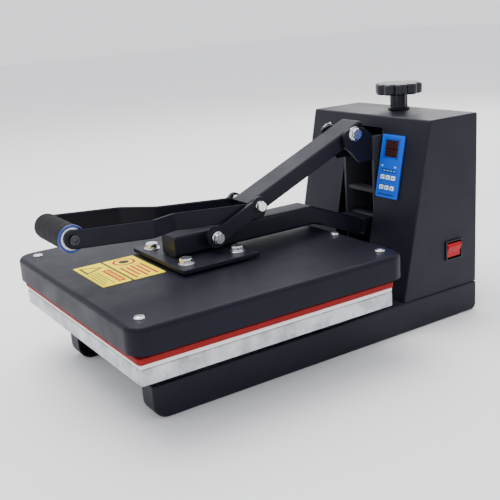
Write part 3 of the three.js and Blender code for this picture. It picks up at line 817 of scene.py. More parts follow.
def tinted_lens(name, colour, roughness):
    """Tinted plastic with a faint inner cloud."""
    f = Finish(name, colour, roughness=roughness, specular=0.2, coat=0.05, coat_roughness=0.08)
    inner = f.ranged(f.speckle(260, 3), 0, 0.8)
    f.drive("Base Color", f.blend(inner, colour, shaded(colour, 0.62)))
    f.drive("Roughness", f.ranged(f.speckle(500, 2), roughness, roughness + 0.08))
    f.raise_by(f.speckle(1200, 1), 0.00002, 0.4)
    return f.material


def studio_floor(name, colour):
    """A plain pale floor."""
    f = Finish(name, colour, roughness=0.75, specular=0.2)
    f.drive("Base Color", f.blend(f.ranged(f.speckle(3, 2), 0, 0.3), colour,
                                  shaded(colour, 0.985)))
    return f.material


# ------------------------------------------------------------------ settings

def colour_property(name, description, default):
    """A colour that a user may change."""
    return bpy.props.FloatVectorProperty(
        name=name, description=description, default=default, subtype="COLOR",
        size=3, min=0, max=1)


def length_property(name, description, default):
    """A length that a user may change, in metres."""
    return bpy.props.FloatProperty(
        name=name, description=description, default=default, min=0, unit="LENGTH",
        precision=4)


class PressSizes(bpy.types.PropertyGroup):
    """Small sizes that a user may change."""

    cover_rim: length_property("Cover rim radius", "Rounding along the cover's top", 0.0065)
    cover_corner: length_property("Cover corner radius", "Rounding of its four corners", 0.025)
    fold: length_property("Fold radius", "Outer radius of the casing's folds", 0.0024)
    tube_corner: length_property("Tube corner radius", "Rounding along the platen arm", 0.004)
    channel_fold: length_property("Lever fold radius", "Rounding along the lever's top", 0.0042)
    bar_bend: length_property("Bar bend radius", "Radius of the handle bars' bends", 0.016)
    screw_head: length_property("Screw head", "Diameter of the cover screws' heads", 0.0138)


class PressColours(bpy.types.PropertyGroup):
    """Colours that a user may change."""

    coat: colour_property("Powder coat", "Casing, cover and lever", (0.0045, 0.0045, 0.0095))
    inner: colour_property("Inner steel", "Plates inside the tower", (0.03, 0.031, 0.036))
    tray: colour_property("Base tray", "Zinc-dipped sheet", (0.56, 0.57, 0.6))
    plated: colour_property("Fasteners", "Bright plated steel", (0.86, 0.87, 0.88))
    platen: colour_property("Heating plate", "Milled aluminium", (0.78, 0.79, 0.8))
    felt: colour_property("Felt", "Pressed felt pad", (0.93, 0.91, 0.88))
    pad: colour_property("Silicone pad", "Red sponge pad", (0.27, 0.012, 0.012))
    sticker: colour_property("Stickers", "Printed vinyl", (1.0, 0.8, 0.0))
    panel: colour_property("Control panel", "Printed membrane", (0.0, 0.085, 0.6))
    keys: colour_property("Keys", "Key caps", (0.72, 0.9, 1.0))
    display: colour_property("Display", "Dark window", (0.03, 0.008, 0.008))
    rocker: colour_property("Rocker", "Power switch rocker", (0.44, 0.0, 0.004))
    plastic: colour_property("Black plastic", "Knob, caps and sockets", (0.005, 0.005, 0.009))
    foam: colour_property("Foam", "Grip sleeve", (0.009, 0.009, 0.012))
    ring: colour_property("Grip ring", "Moulded ring", (0.004, 0.024, 0.22))
    floor: colour_property("Floor", "Studio floor", (0.93, 0.93, 0.935))


FINISHES = {}


def finishes():
    """The press's finishes, made the first time they are asked for."""
    if FINISHES:
        return FINISHES
    c = bpy.context.scene.press_colours
    yellow, red, ink = tuple(c.sticker), (0.52, 0.02, 0.015), (0.05, 0.03, 0.012)
    FINISHES.update(
        powder_black=powder_coat("satin_powder_coat", tuple(c.coat), 0.47),
        cover_coat=powder_coat("cover_powder_coat", tuple(c.coat), 0.44, 0.15),
        inner_steel=powder_coat("inner_steel_paint", tuple(c.inner), 0.5),
        galvanised=galvanised_sheet("galvanised_sheet", tuple(c.tray)),
        zinc=bright_zinc("bright_zinc_plate", tuple(c.plated), 0.2),
        aluminium=milled_aluminium("milled_aluminium", tuple(c.platen)),
        felt=pressed_felt("pressed_felt", tuple(c.felt)),
        silicone=silicone_foam("silicone_sponge", tuple(c.pad)),
        front_sticker=sticker_vinyl("front_sticker_print", yellow, FRONT_STICKER_LENGTH,
                                    lambda p: front_marks(p, yellow, red, ink)),
        rear_sticker=sticker_vinyl("rear_sticker_print", yellow, REAR_STICKER_LENGTH,
                                   lambda p: rear_marks(p, red, ink)),
        panel_blue=membrane_print("control_panel_print", tuple(c.panel)),
        key_pale=key_print("key_cap_print", tuple(c.keys), (0.05, 0.17, 0.42)),
        display_dark=tinted_lens("display_window", tuple(c.display), 0.12),
        segments=moulded_plastic("unlit_segments", (0.045, 0.018, 0.014), 0.4),
        rocker_red=tinted_lens("rocker_lens", tuple(c.rocker), 0.26),
        plastic_black=moulded_plastic("black_plastic", tuple(c.plastic), 0.34, 0.05),
        foam_black=foam_rubber("grip_foam", tuple(c.foam)),
        ring_blue=moulded_plastic("ring_blue_plastic", tuple(c.ring), 0.28, 0.3),
        ring_white=moulded_plastic("ring_white_plastic", (0.8, 0.81, 0.84), 0.35, 0.2),
        black_bolt=bright_zinc("blackened_steel", (0.06, 0.06, 0.065), 0.35),
        board_beige=pressed_board("insulation_board", (0.6, 0.55, 0.4)),
        floor=studio_floor("studio_floor", tuple(c.floor)),
    )
    return FINISHES


# ------------------------------------------------------------------ shapes used by several pieces

def dense(outline, step):
    """An outline with points added so that none of its edges is longer than step."""
    points = []
    for here, after in zip(outline, outline[1:] + outline[:1]):
        here, after = Vector(here), Vector(after)
        count = max(1, math.ceil((after - here).length / step))
        points += [tuple(here.lerp(after, k / count)) for k in range(count)]
    return points


# How far in from a pad's edge its points may wander.
EDGE_BAND = 8


def soft_sheet(box, corner, rim, wander, seed):
    """A pad with rounded rims whose cut edge wanders a little."""
    bm = slab(dense(plan(box, corner, 5), 6), box.z0, box.z1)
    round_edges(bm, level, rim, 3)
    centre = Vector((*middle(box)[:2], 0))
    for vert in bm.verts:
        drift = 0.5 + 0.5 * noise.noise(Vector((vert.co.x * 0.07, vert.co.y * 0.07, seed)))
        drift += 0.25 * noise.noise(Vector((vert.co.x * 0.31, vert.co.y * 0.31, vert.co.z)))
        way = Vector((vert.co.x, vert.co.y, 0)) - centre
        way.x *= abs(way.x) > box.x1 - centre.x - EDGE_BAND
        way.y *= abs(way.y) > box.y1 - centre.y - EDGE_BAND
        if way.length > 1:
            vert.co -= way.normalized() * wander * max(drift, 0)
    return bm


def pan_screw(width, height=2.2):
    """A domed screw head with a cross recess, on the drawing's origin."""
    r = width / 2
    head = lathe([(0, -1.5), (r * 0.5, -1.5), (r * 0.5, 0), (r, 0), (r, height * 0.4),
                  (r * 0.86, height * 0.78), (r * 0.5, height * 0.97), (0, height)], along_z(), 24)
    arms = [slab([(-a, -b), (a, -b), (a, b), (-a, b)], height * 0.35, height + 1)
            for a, b in ((r * 0.62, r * 0.14), (r * 0.14, r * 0.62))]
    return carve(head, *arms)


def washered_bolt():
    """A hexagon bolt on a spring washer and a flat washer, on the drawing's origin."""
    flat = sleeve([(5.2, 0), (11, 0), (11, 1.3), (10.7, 1.6), (5.2, 1.6)], along_z(), 36)
    spring = sleeve([(5.2, 1.6), (8.6, 1.6), (8.8, 1.9), (8.8, 3.3), (8.6, 3.6), (5.2, 3.6)],
                    along_z(), 30)
    head = hex_head(16, 3.6, 8.4, along_z())
    shank = lathe([(0, -18), (5, -18), (5, 4), (0, 4)], along_z(), 20)
    return merge(flat, spring, head, shank)


def cross_bolt(x_face, centre, head, washer, height, shank_to, shank):
    """A bolt along X: its washer lies on x_face, and its shank reaches shank_to."""
    way = math.copysign(1, x_face)
    place = along_x(centre.y, centre.z)
    step = way * 1.6
    disc = lathe([(0, x_face), (washer - 0.3, x_face), (washer, x_face + way * 0.3),
                  (washer, x_face + step - way * 0.4), (washer - 0.5, x_face + step),
                  (0, x_face + step)], place, 40)
    cap = hex_head(head, x_face + step, x_face + step + way * height, place, 1.1, 0.3)
    stud = lathe([(0, shank_to), (shank, shank_to), (shank, x_face + way), (0, x_face + way)],
                 place, 28)
    return merge(disc, cap, stud)


def tuck_in(bm, centre, low, high, radius):
    """Pulls the rim round a centre in to a radius; low and high say which rim."""
    for vert in bm.verts:
        arm = Vector((0, vert.co.y - centre.y, vert.co.z - centre.z))
        if low < arm.length < high:
            vert.co -= arm.normalized() * max(arm.length - radius, 0)


def front_place(point):
    """A drawn point's place on the tower's front: across, and up the slope."""
    up = (Vector((point[1], point[2])) - TOWER_FOOT).dot(RISE)
    return point[0], up


def dress_node(node, name, body, slot, edge):
    """A CAD node's shape with its edges softened."""
    return piece(name, from_node(node), body, slot, [node], edge)


# ------------------------------------------------------------------ operators

class PieceMaker:
    """What the press's operators share."""

    bl_options = {"REGISTER", "UNDO"}


class HEATPRESS_OT_feet(PieceMaker, bpy.types.Operator):
    """Two folded channel feet and the two beams across them"""

    bl_idname = "heatpress.feet"
    bl_label = "Feet and cross beams"

    def execute(self, context):
        for word, side in (("left", -1), ("right", 1)):
            box = span(f"{word}_foot")
            outer = box.x1 if side > 0 else box.x0
            outline = fillet([(box.y0, box.z1, 3), (box.y0, box.z0, 20),
                              (box.y1, box.z0, 9), (box.y1, box.z1, 3)], 9)
            bm = slab(outline, box.x0, box.x1, along_x())
            open_up(bm, lambda normal: normal.x * side < -FACING)
            round_edges(bm, lambda a, b: abs(a.x - outer) + abs(b.x - outer) < NEAR, 2.8, 5)
            piece(f"{word}_channel_foot", walled(bm, FOOT_WALL), "frame", "powder_black",
                  [f"{word}_foot"])
        for word in ("front", "rear"):
            dress_node(f"{word}_cross_beam", f"{word}_beam_tube", "frame", "powder_black", 1.1)
        return {"FINISHED"}


class HEATPRESS_OT_base_tray(PieceMaker, bpy.types.Operator):
    """The folded sheet tray that the pads lie on"""

    bl_idname = "heatpress.base_tray"
    bl_label = "Base tray"

    def execute(self, context):
        box = span("base_plate")
        bm = slab(plan(box, 3.2, 5), box.z0, box.z1)
        open_up(bm, faces_down)
        round_edges(bm, at_top(box), 2.2, 4)
        piece("base_tray", walled(bm, TRAY_WALL), "frame", "galvanised", ["base_plate"])
        return {"FINISHED"}


class HEATPRESS_OT_pads(PieceMaker, bpy.types.Operator):
    """The white felt and the red silicone sponge"""

    bl_idname = "heatpress.pads"
    bl_label = "Felt and silicone pads"

    def execute(self, context):
        box = span("felt_pad")
        felt = piece("pressed_felt_pad", soft_sheet(box, 2.5, 1.3, 0.7, 3.0), "frame", "felt",
                     ["felt_pad"])
        box = span("silicone_pad")
        sponge = piece("silicone_sponge_pad", soft_sheet(box, 6, 1.1, 0.5, 11.0), "frame",
                       "silicone", ["silicone_pad"])
        return {"FINISHED"}


class HEATPRESS_OT_casing(PieceMaker, bpy.types.Operator):
    """The tower's casing, folded from one sheet"""

    bl_idname = "heatpress.casing"
    bl_label = "Tower casing"

    def execute(self, context):
        profile = [tuple(TOWER_FOOT), tuple(TOWER_BROW), (TOWER_BACK, TOWER_BROW.y),
                   (TOWER_BACK, TOWER_FOOT.y)]
        bm = slab(profile, -TOWER_HALF, TOWER_HALF, along_x())
        open_up(bm, faces_down)
        round_edges(bm, lambda a, b: True, context.scene.press_sizes.fold / MM, 5)
        switch, inlet = span("switch_housing"), span("power_inlet")
        slot = rounded(-SLOT_HALF, SLOT_HALF, SLOT_LOW, SLOT_TOP, 1.5, 3)
        window = inset(PANEL.x0, PANEL.x1, PANEL.y0, PANEL.y1, 6)
        switch_hole = inset(switch.y0, switch.y1, switch.z0, switch.z1, 2.2)
        inlet_hole = inset(inlet.x0, inlet.x1, inlet.z0, inlet.z1, 2.6)
        tools = merge(
            slab(slot, -4, 4, on_front()),
            slab(window, -4, 4, on_front()),
            slab(switch_hole, TOWER_HALF - 6, TOWER_HALF + 4, along_x()),
            slab(inlet_hole, TOWER_BACK - 6, TOWER_BACK + 4, along_y()),
            slab(circle(12, 28), TOWER_BROW.y - 8, TOWER_BROW.y + 4,
                 along_z(KNOB_AXIS.x, KNOB_AXIS.y)))
        bm = carve(walled(bm, CASING_WALL), tools)
        panels = [f"tower_{word}_panel" for word in ("front", "left", "right", "top", "back")]
        piece("tower_casing", bm, "frame", "powder_black", panels, 0.35, 2)
        return {"FINISHED"}


class HEATPRESS_OT_casing_screws(PieceMaker, bpy.types.Operator):
    """The small screws that hold the casing to its inner frame"""

    bl_idname = "heatpress.casing_screws"
    bl_label = "Casing screws"

    def execute(self, context):
        out = (0, -RISE.y, RISE.x)
        places = [(on_front()(-88.6, 244, 0.05), out)]
        places += [((x, TOWER_BACK + 0.05, z), (0, 1, 0))
                   for x in (-120, 0, 120) for z in (62, 178, 292) if x or z != 178]
        scatter("casing_screws", pan_screw(context.scene.press_sizes.screw_head / MM * 0.42, 1.4),
                places, "frame", "zinc", seed=5)
        return {"FINISHED"}


class HEATPRESS_OT_inner_frame(PieceMaker, bpy.types.Operator):
    """The plates and the shaft inside the tower"""

    bl_idname = "heatpress.inner_frame"
    bl_label = "Inner frame"

    def execute(self, context):
        f = finishes()
        for node, name in (("left_frame_plate", "left_inner_plate"),
                           ("right_frame_plate", "right_inner_plate"),
                           ("frame_top_plate", "inner_top_plate"),
                           ("frame_tie_bar", "inner_tie_bar")):
            dress_node(node, name, "frame", "inner_steel", 0.7)
        box = span("hinge_shaft")
        radius = 10
        profile = [(0, box.x0), (12.6, box.x0), (14, box.x0 + 1.2), (14, -36), (radius, -36),
                   (radius, 36), (14, 36), (14, box.x1 - 1.2), (12.6, box.x1), (0, box.x1)]
        piece("turned_hinge_shaft", lathe(profile, along_x(HINGE.y, HINGE.z)), "frame", "zinc",
              ["hinge_shaft"])
        for node, finish in (("tower_floor", "inner_steel"), ("controller_box", "plastic_black")):
            frame["nodes"][node].data.materials[0] = f[finish]
        return {"FINISHED"}


class HEATPRESS_OT_control_panel(PieceMaker, bpy.types.Operator):
    """The blue membrane panel, its display window and the unlit digits"""

    bl_idname = "heatpress.control_panel"
    bl_label = "Control panel"

    def execute(self, context):
        plate = slab(rounded(PANEL.x0, PANEL.x1, PANEL.y0, PANEL.y1, 2, 4), PANEL.z0, PANEL.z1,
                     on_front())
        holes = [slab(rounded(DISPLAY.x0 - 0.3, DISPLAY.x1 + 0.3, DISPLAY.y0 - 0.3,
                              DISPLAY.y1 + 0.3, 0.8, 3), -2, 6, on_front())]
        for number in range(1, 7):
            x, s = key_place(number)
            holes.append(slab(rounded(-5, 5, -3.8, 3.8, 1.4, 3), -2, 6, on_front(x, s)))
        plate = carve(plate, merge(*holes))

        def flat(point):
            x, s = front_place(point)
            return x - PANEL.x0, s - PANEL.y0
        map_print(plate, flat, (PANEL.x1 - PANEL.x0, PANEL.y1 - PANEL.y0))
        piece("membrane_panel", plate, "frame", "panel_blue", ["control_panel"], 0.3, 2)
        pane = slab(rounded(DISPLAY.x0, DISPLAY.x1, DISPLAY.y0, DISPLAY.y1, 0.6, 3),
                    DISPLAY.z0, DISPLAY.z1, on_front())
        piece("display_pane", pane, "frame", "display_dark", ["display_window"], 0.2, 2)
        piece("display_digits", digits(), "frame", "display_dark", finish=["segments"])
        return {"FINISHED"}


def key_place(number):
    """A key's place on the tower's front."""
    return front_place(middle(span(f"key_{number}")))


def digits():
    """Two rows of three seven-bar digits, raised a hair above the pane."""
    wide, high, bar = 5.2, 8.6, 1.15
    cell_x = (DISPLAY.x1 - DISPLAY.x0) / 3
    cell_y = (DISPLAY.y1 - DISPLAY.y0) / 2
    bars = [(0, k * high / 2, wide - bar, bar) for k in (-1, 0, 1)]
    bars += [(sx * wide / 2, sy * high / 4, bar, high / 2 - bar)
             for sx in (-1, 1) for sy in (-1, 1)]
    drawings = []
    for column in range(3):
        for row in range(2):
            x = DISPLAY.x0 + cell_x * (column + 0.5)
            s = DISPLAY.y0 + cell_y * (row + 0.5)
            for a, b, w, h in bars:
                outline = rounded(a - w / 2, a + w / 2, b - h / 2, b + h / 2, 0.4, 2)
                drawings.append(slab(outline, DISPLAY.z1 - 0.1, DISPLAY.z1 + 0.12, on_front(x, s)))
    return merge(*drawings)


class HEATPRESS_OT_keys(PieceMaker, bpy.types.Operator):
    """Six key caps, each on its own body"""

    bl_idname = "heatpress.keys"
    bl_label = "Keys"

    def execute(self, context):
        for number in range(1, 7):
            x, s = key_place(number)
            cap = slab(rounded(-3.9, 3.9, -3.3, 3.3, 0.8, 4), 0.8, 3.9, on_front(x, s))

            def raised(a, b):
                return min(out_of_front(a), out_of_front(b)) > 3.8
            round_edges(cap, raised, 0.6, 3)

            def flat(point):
                across, up = front_place(point)
                return across - x + 5, up - s + 5
            map_print(cap, flat, (10, 10))
            piece(f"key_cap_{number}", cap, f"key_{number}", "key_pale", [f"key_{number}"])
        return {"FINISHED"}


def out_of_front(point):
    """How far a drawn point stands out of the tower's front."""
    from_foot = Vector((point[1], point[2])) - TOWER_FOOT
    return from_foot.dot(Vector((-RISE.y, RISE.x)))


class HEATPRESS_OT_power_switch(PieceMaker, bpy.types.Operator):
    """The rocker switch on the tower's right side"""

    bl_idname = "heatpress.power_switch"
    bl_label = "Power switch"

    def execute(self, context):
        box, rocker = span("switch_housing"), span("power_rocker")
        _, y, z = middle(box)
        face, depth = TOWER_HALF + 0.3, 12
        place = along_x(y, z)
        bezel = slab(centred(17.0, 15.3, 2.6, 6), face, box.x1, place)
        round_edges(bezel, lambda a, b: a.x + b.x > 2 * box.x1 - NEAR, 1.1, 4)
        tub = slab(centred(16.4, 14.4, 1.5, 3), box.x0, face + 1, place)
        well = slab(centred(14.6, 13.4, 1, 3), face - depth, box.x1 + 3, place)
        housing = carve(carve(bezel, tub, operation="UNION"), well)
        piece("switch_bezel", housing, "frame", "plastic_black", ["switch_housing"], 0.25, 2)
        low, tip = face + 1, rocker.x1
        half = (rocker.z1 - rocker.z0) / 2
        profile = fillet([(face - 7, z - half + 2, 0.5), (low, z - half + 0.1, 1.0),
                          (low, z - half * 0.3, 9), (tip - 0.05, z + half * 0.5, 1.6),
                          (low + 1, z + half - 0.7, 0.8), (face - 7, z + half - 2, 0.5)], 5)
        body = slab(profile, rocker.y0 + 0.1, rocker.y1 - 0.1, lambda a, b, t: (a, t, b))
        piece("rocker_cap", body, "rocker", "rocker_red", ["power_rocker"], 0.5, 3)
        return {"FINISHED"}


class HEATPRESS_OT_power_inlet(PieceMaker, bpy.types.Operator):
    """The mains inlet on the tower's back"""

    bl_idname = "heatpress.power_inlet"
    bl_label = "Power inlet"

    def execute(self, context):
        box = span("power_inlet")
        x, _, z = middle(box)
        face = box.y1
        place = along_y(x, z)
        flange = slab(centred(15, 12, 2.5, 5), TOWER_BACK + 0.3, face, place)
        round_edges(flange, lambda a, b: a.y + b.y > 2 * face - NEAR, 0.9, 3)
        tub = slab(centred(12, 9, 1, 2), box.y0, face - 2, place)
        socket = slab(fillet([(-11, -7.5, 1), (11, -7.5, 1), (11, 3.5, 1), (7, 7.5, 1),
                              (-7, 7.5, 1), (-11, 3.5, 1)], 3), face - 17, face + 4, place)
        shell = carve(carve(flange, tub, operation="UNION"), socket)
        piece("inlet_socket", shell, "frame", "plastic_black", ["power_inlet"], 0.25, 2)
        pins = [slab(rounded(dx - 1, dx + 1, -5, -1, 0.4, 2), face - 20, face - 6, place)
                for dx in (-6, 0, 6)]
        piece("inlet_pins", merge(*pins), "frame", "zinc", edge=0.2, steps=2)
        return {"FINISHED"}


class HEATPRESS_OT_platen(PieceMaker, bpy.types.Operator):
    """The heating plate and the board above it"""

    bl_idname = "heatpress.platen"
    bl_label = "Heating plate"

    def execute(self, context):
        f = finishes()
        box = span("heating_plate")
        bm = slab(plan(box, 14, 8), box.z0, box.z1)
        round_edges(bm, level, 0.9, 3)
        piece("milled_platen", bm, "platen", "aluminium", ["heating_plate"])
        frame["nodes"]["insulation_board"].data.materials[0] = f["board_beige"]
        return {"FINISHED"}


class HEATPRESS_OT_cover(PieceMaker, bpy.types.Operator):
    """The pressed cover over the platen"""

    bl_idname = "heatpress.cover"
    bl_label = "Platen cover"

    def execute(self, context):
        sizes = context.scene.press_sizes
        box = span("platen_cover")
        corner, rim = sizes.cover_corner / MM, sizes.cover_rim / MM
        bm = slab(plan(box, corner, 14), box.z0, box.z1)
        open_up(bm, faces_down)
        round_edges(bm, at_top(box), rim, 7)
        piece("pressed_cover", walled(bm, COVER_WALL), "platen", "powder_black", ["platen_cover"],
              finish=["cover_coat"])
        return {"FINISHED"}


class HEATPRESS_OT_cover_fasteners(PieceMaker, bpy.types.Operator):
    """The mounting plate, its four bolts and the cover's screws"""

    bl_idname = "heatpress.cover_fasteners"
    bl_label = "Mounting plate and fasteners"

    def execute(self, context):
        dress_node("mounting_plate", "padded_mounting_plate", "platen", "powder_black", 0.8)
        bolts = [f"level_bolt_{number}" for number in range(1, 5)]
        plate_top = span("mounting_plate").z1 + 0.05
        places = [((*middle(span(node))[:2], plate_top), (0, 0, 1)) for node in bolts]
        scatter("level_bolts", washered_bolt(), places, "platen", "zinc", bolts, seed=8)
        cover = span("platen_cover")
        places = [((x, y, cover.z1 - 0.02), (0, 0, 1)) for x, y in
                  ((-168, 16), (168, 16), (-168, 374), (168, 374), (59, 385))]
        scatter("cover_screws", pan_screw(context.scene.press_sizes.screw_head / MM, 3.4), places,
                "platen", "zinc", seed=2)
        return {"FINISHED"}


class HEATPRESS_OT_platen_arm(PieceMaker, bpy.types.Operator):
    """The square tube arm with its cap, its yoke and the links' pin"""

    bl_idname = "heatpress.platen_arm"
    bl_label = "Platen arm"

    def execute(self, context):
        box = span("platen_arm")
        corner = context.scene.press_sizes.tube_corner / MM
        low_bend, rear_height = Point(0, 381, 158.8), 26.9
        tall = box.z1 - low_bend.z
        slope = (box.z0 - low_bend.z) / (box.y1 - low_bend.y)
        rear_top = box.z0 + rear_height
        high_bend = box.y1 - (rear_top - box.z1) / slope
        outline = fillet([(box.y0, low_bend.z), (low_bend.y, low_bend.z, 14),
                          (box.y1, box.z0), (box.y1, rear_top),
                          (high_bend, low_bend.z + tall, 14), (box.y0, box.z1)], 6)
        bm = slab(outline, box.x0, box.x1, along_x())
        round_edges(bm, lambda a, b: a.x * b.x > 0 and abs(a.y - b.y) > 0.4, corner, 5, 60)
        piece("arm_tube", bm, "platen", "powder_black", ["platen_arm"])
        cap = slab(rounded(box.x0, box.x1, low_bend.z, box.z1, corner, 5), box.y0 - 3.2,
                   box.y0 - 0.2, along_y())
        round_edges(cap, lambda a, b: a.y + b.y < 2 * (box.y0 - 3.1), 1.2, 4)
        piece("tube_end_plug", cap, "platen", "plastic_black", ["arm_end_cap"])
        dress_node("arm_yoke", "hinge_yoke", "platen", "powder_black", 1.4)
        link = span("right_link")
        reach, inner = link.x1 + 0.3, link.x0 - 0.3
        place = along_x(LINK_PIVOT.y, LINK_PIVOT.z)
        spacers = [sleeve([(4.5, s * box.x1), (8, s * box.x1), (8, s * inner), (4.5, s * inner)],
                          place, 32) for s in (-1, 1)]
        bolts = [cross_bolt(s * reach, LINK_PIVOT, 14.5, 8.6, 5.6, s * 15, 5) for s in (-1, 1)]
        piece("link_pivot_bolts", merge(*bolts, *spacers), "platen", "zinc", ["link_pivot_pin"])
        return {"FINISHED"}


class HEATPRESS_OT_stickers(PieceMaker, bpy.types.Operator):
    """Two plain printed stickers on the cover"""

    bl_idname = "heatpress.stickers"
    bl_label = "Stickers"

    def execute(self, context):
        for node, name, print_name in (("front_label", "front_vinyl", "front_sticker"),
                                       ("rear_label", "rear_vinyl", "rear_sticker")):
            box = span(node)
            bm = slab(plan(box, 2, 4), box.z0, box.z1)
            map_print(bm, lambda point, box=box: (point.x - box.x0, point.y - box.y0),
                      (box.x1 - box.x0, box.y1 - box.y0))
            piece(name, bm, "platen", "label_yellow", [node], finish=[print_name])
        return {"FINISHED"}


class HEATPRESS_OT_carriage(PieceMaker, bpy.types.Operator):
    """The pressure carriage with its ears, and the lever's pivot bolt"""

    bl_idname = "heatpress.carriage"
    bl_label = "Pressure carriage"

    def execute(self, context):
        box = span("pressure_carriage")
        ear_rise = 23.5
        nut_top = box.z1 - ear_rise
        outline = fillet([(433, 266, 9), (433, 290, 9), (449, 294.5, 12), (473, 291.5, 8),
                          (492, nut_top), (box.y1, nut_top), (box.y1, box.z0),
                          (461, box.z0, 3), (441, 262, 6)], 6)
        ears = [slab(outline, *sorted((side * (box.x1 - 6), side * box.x1)), along_x())
                for side in (-1, 1)]
        nut = slab(rounded(5.8 - box.x1, box.x1 - 5.8, 512, box.y1, 1, 2), box.z0, nut_top)
        hole = slab(circle(8.4, 32), box.z0 - 2, box.z1, along_z(KNOB_AXIS.x, KNOB_AXIS.y))
        bm = carve(carve(ears[0], ears[1], nut, operation="UNION"), hole)
        piece("eared_carriage", bm, "carriage", "powder_black", ["pressure_carriage"], 0.8, 3)
        reach = box.x1 + 0.2
        bolts = [cross_bolt(s * reach, LEVER_PIVOT, 15.5, 10.8, 5.6, s * 2, 6) for s in (-1, 1)]
        piece("lever_pivot_bolts", merge(*bolts), "carriage", "zinc", ["lever_pivot_bolt"])
        return {"FINISHED"}


class HEATPRESS_OT_pressure_knob(PieceMaker, bpy.types.Operator):
    """The lobed knob on its threaded screw"""

    bl_idname = "heatpress.pressure_knob"
    bl_label = "Pressure knob and screw"

    def execute(self, context):
        box, screw = span("pressure_knob"), span("pressure_screw")
        place = along_z(KNOB_AXIS.x, KNOB_AXIS.y)
        radius, lobe, lobes, low, steps = 36.5, 2.4, 10, box.z1 - 17, 200

        def ring(inward, z):
            points = []
            for k in range(steps):
                angle = math.tau * k / steps
                swell = lobe * (abs(math.cos(lobes * angle / 2)) ** 0.8 * 2 - 2)
                r = radius + swell - inward
                points.append(place(r * math.cos(angle), r * math.sin(angle), z))
            return points
        levels = [(6, low), (2.2, low + 0.3), (0.9, low + 1.1), (0.3, low + 2.6),
                  (0, box.z1 - 4.5), (0.5, box.z1 - 2.6), (1.6, box.z1 - 1.1),
                  (3.4, box.z1 - 0.3), (6.5, box.z1)]
        disc = stack([ring(inward, z) for inward, z in levels])

        def fluted(grow, z):
            """A ring of the neck, which has eight shallow flutes."""
            points = []
            for t in (math.tau * k / 96 for k in range(96)):
                r = 12.6 + grow + 0.9 * math.cos(8 * t)
                points.append(place(r * math.cos(t), r * math.sin(t), z))
            return points
        neck = stack([fluted(grow, z) for grow, z in (
            (0.5, box.z0 + 3), (0, box.z0 + 5), (0, low - 4), (1.4, low + 0.5))])
        collar = lathe([(0, box.z0), (16.4, box.z0), (17, box.z0 + 0.6), (17, box.z0 + 2.6),
                        (15.8, box.z0 + 3.8), (0, box.z0 + 4)], place)
        piece("lobed_knob", merge(disc, neck, collar), "knob", "plastic_black", ["pressure_knob"])
        pitch, thread_top = 2, 304
        profile = [(0, screw.z0), (6.6, screw.z0)]
        z = screw.z0 + 0.8
        while z < thread_top:
            profile += [(8, z), (7.1, z + pitch / 2)]
            z += pitch
        profile += [(7.9, z), (7.9, screw.z1), (0, screw.z1)]
        piece("threaded_screw", lathe(profile, place, 32), "knob", "zinc", ["pressure_screw"],
              least=50)
        return {"FINISHED"}


class HEATPRESS_OT_lever_channel(PieceMaker, bpy.types.Operator):
    """The folded channel between the pivot and the knee"""

    bl_idname = "heatpress.lever_channel"
    bl_label = "Lever channel"

    def execute(self, context):
        way = Vector((0, LEVER_PIVOT.y - KNEE.y, LEVER_PIVOT.z - KNEE.z))
        end = way.length + 27
        way.normalize()
        up = Vector((0, -way.z, way.y))
        box = span("lever_channel")
        low, high, knee_end = -14.6, 8, -9
        outline = fillet([(knee_end, low), (end - 8, low), (end, -5.6), (end, high, 6.5),
                          (knee_end, high)], 6)
        bm = slab(outline, box.x0, box.x1, along_lever)
        open_up(bm, lambda normal: normal.dot(up) < -0.3 or normal.dot(way) < -FACING)
        round_edges(bm, lambda a, b: a.x * b.x > 0, context.scene.press_sizes.channel_fold / MM,
                    6, 60)
        piece("folded_lever", walled(bm, LEVER_WALL), "lever", "powder_black", ["lever_channel"],
              0.5, 2)
        return {"FINISHED"}


class HEATPRESS_OT_handle_bars(PieceMaker, bpy.types.Operator):
    """The two bent flat bars of the handle"""

    bl_idname = "heatpress.handle_bars"
    bl_label = "Handle bars"

    def execute(self, context):
        bend = context.scene.press_sizes.bar_bend / MM
        for word, side in (("left", -1), ("right", 1)):
            piece(f"{word}_bent_bar", bent_bar(side, bend), "lever", "powder_black",
                  [f"{word}_handle_bar"], least=40)
        return {"FINISHED"}


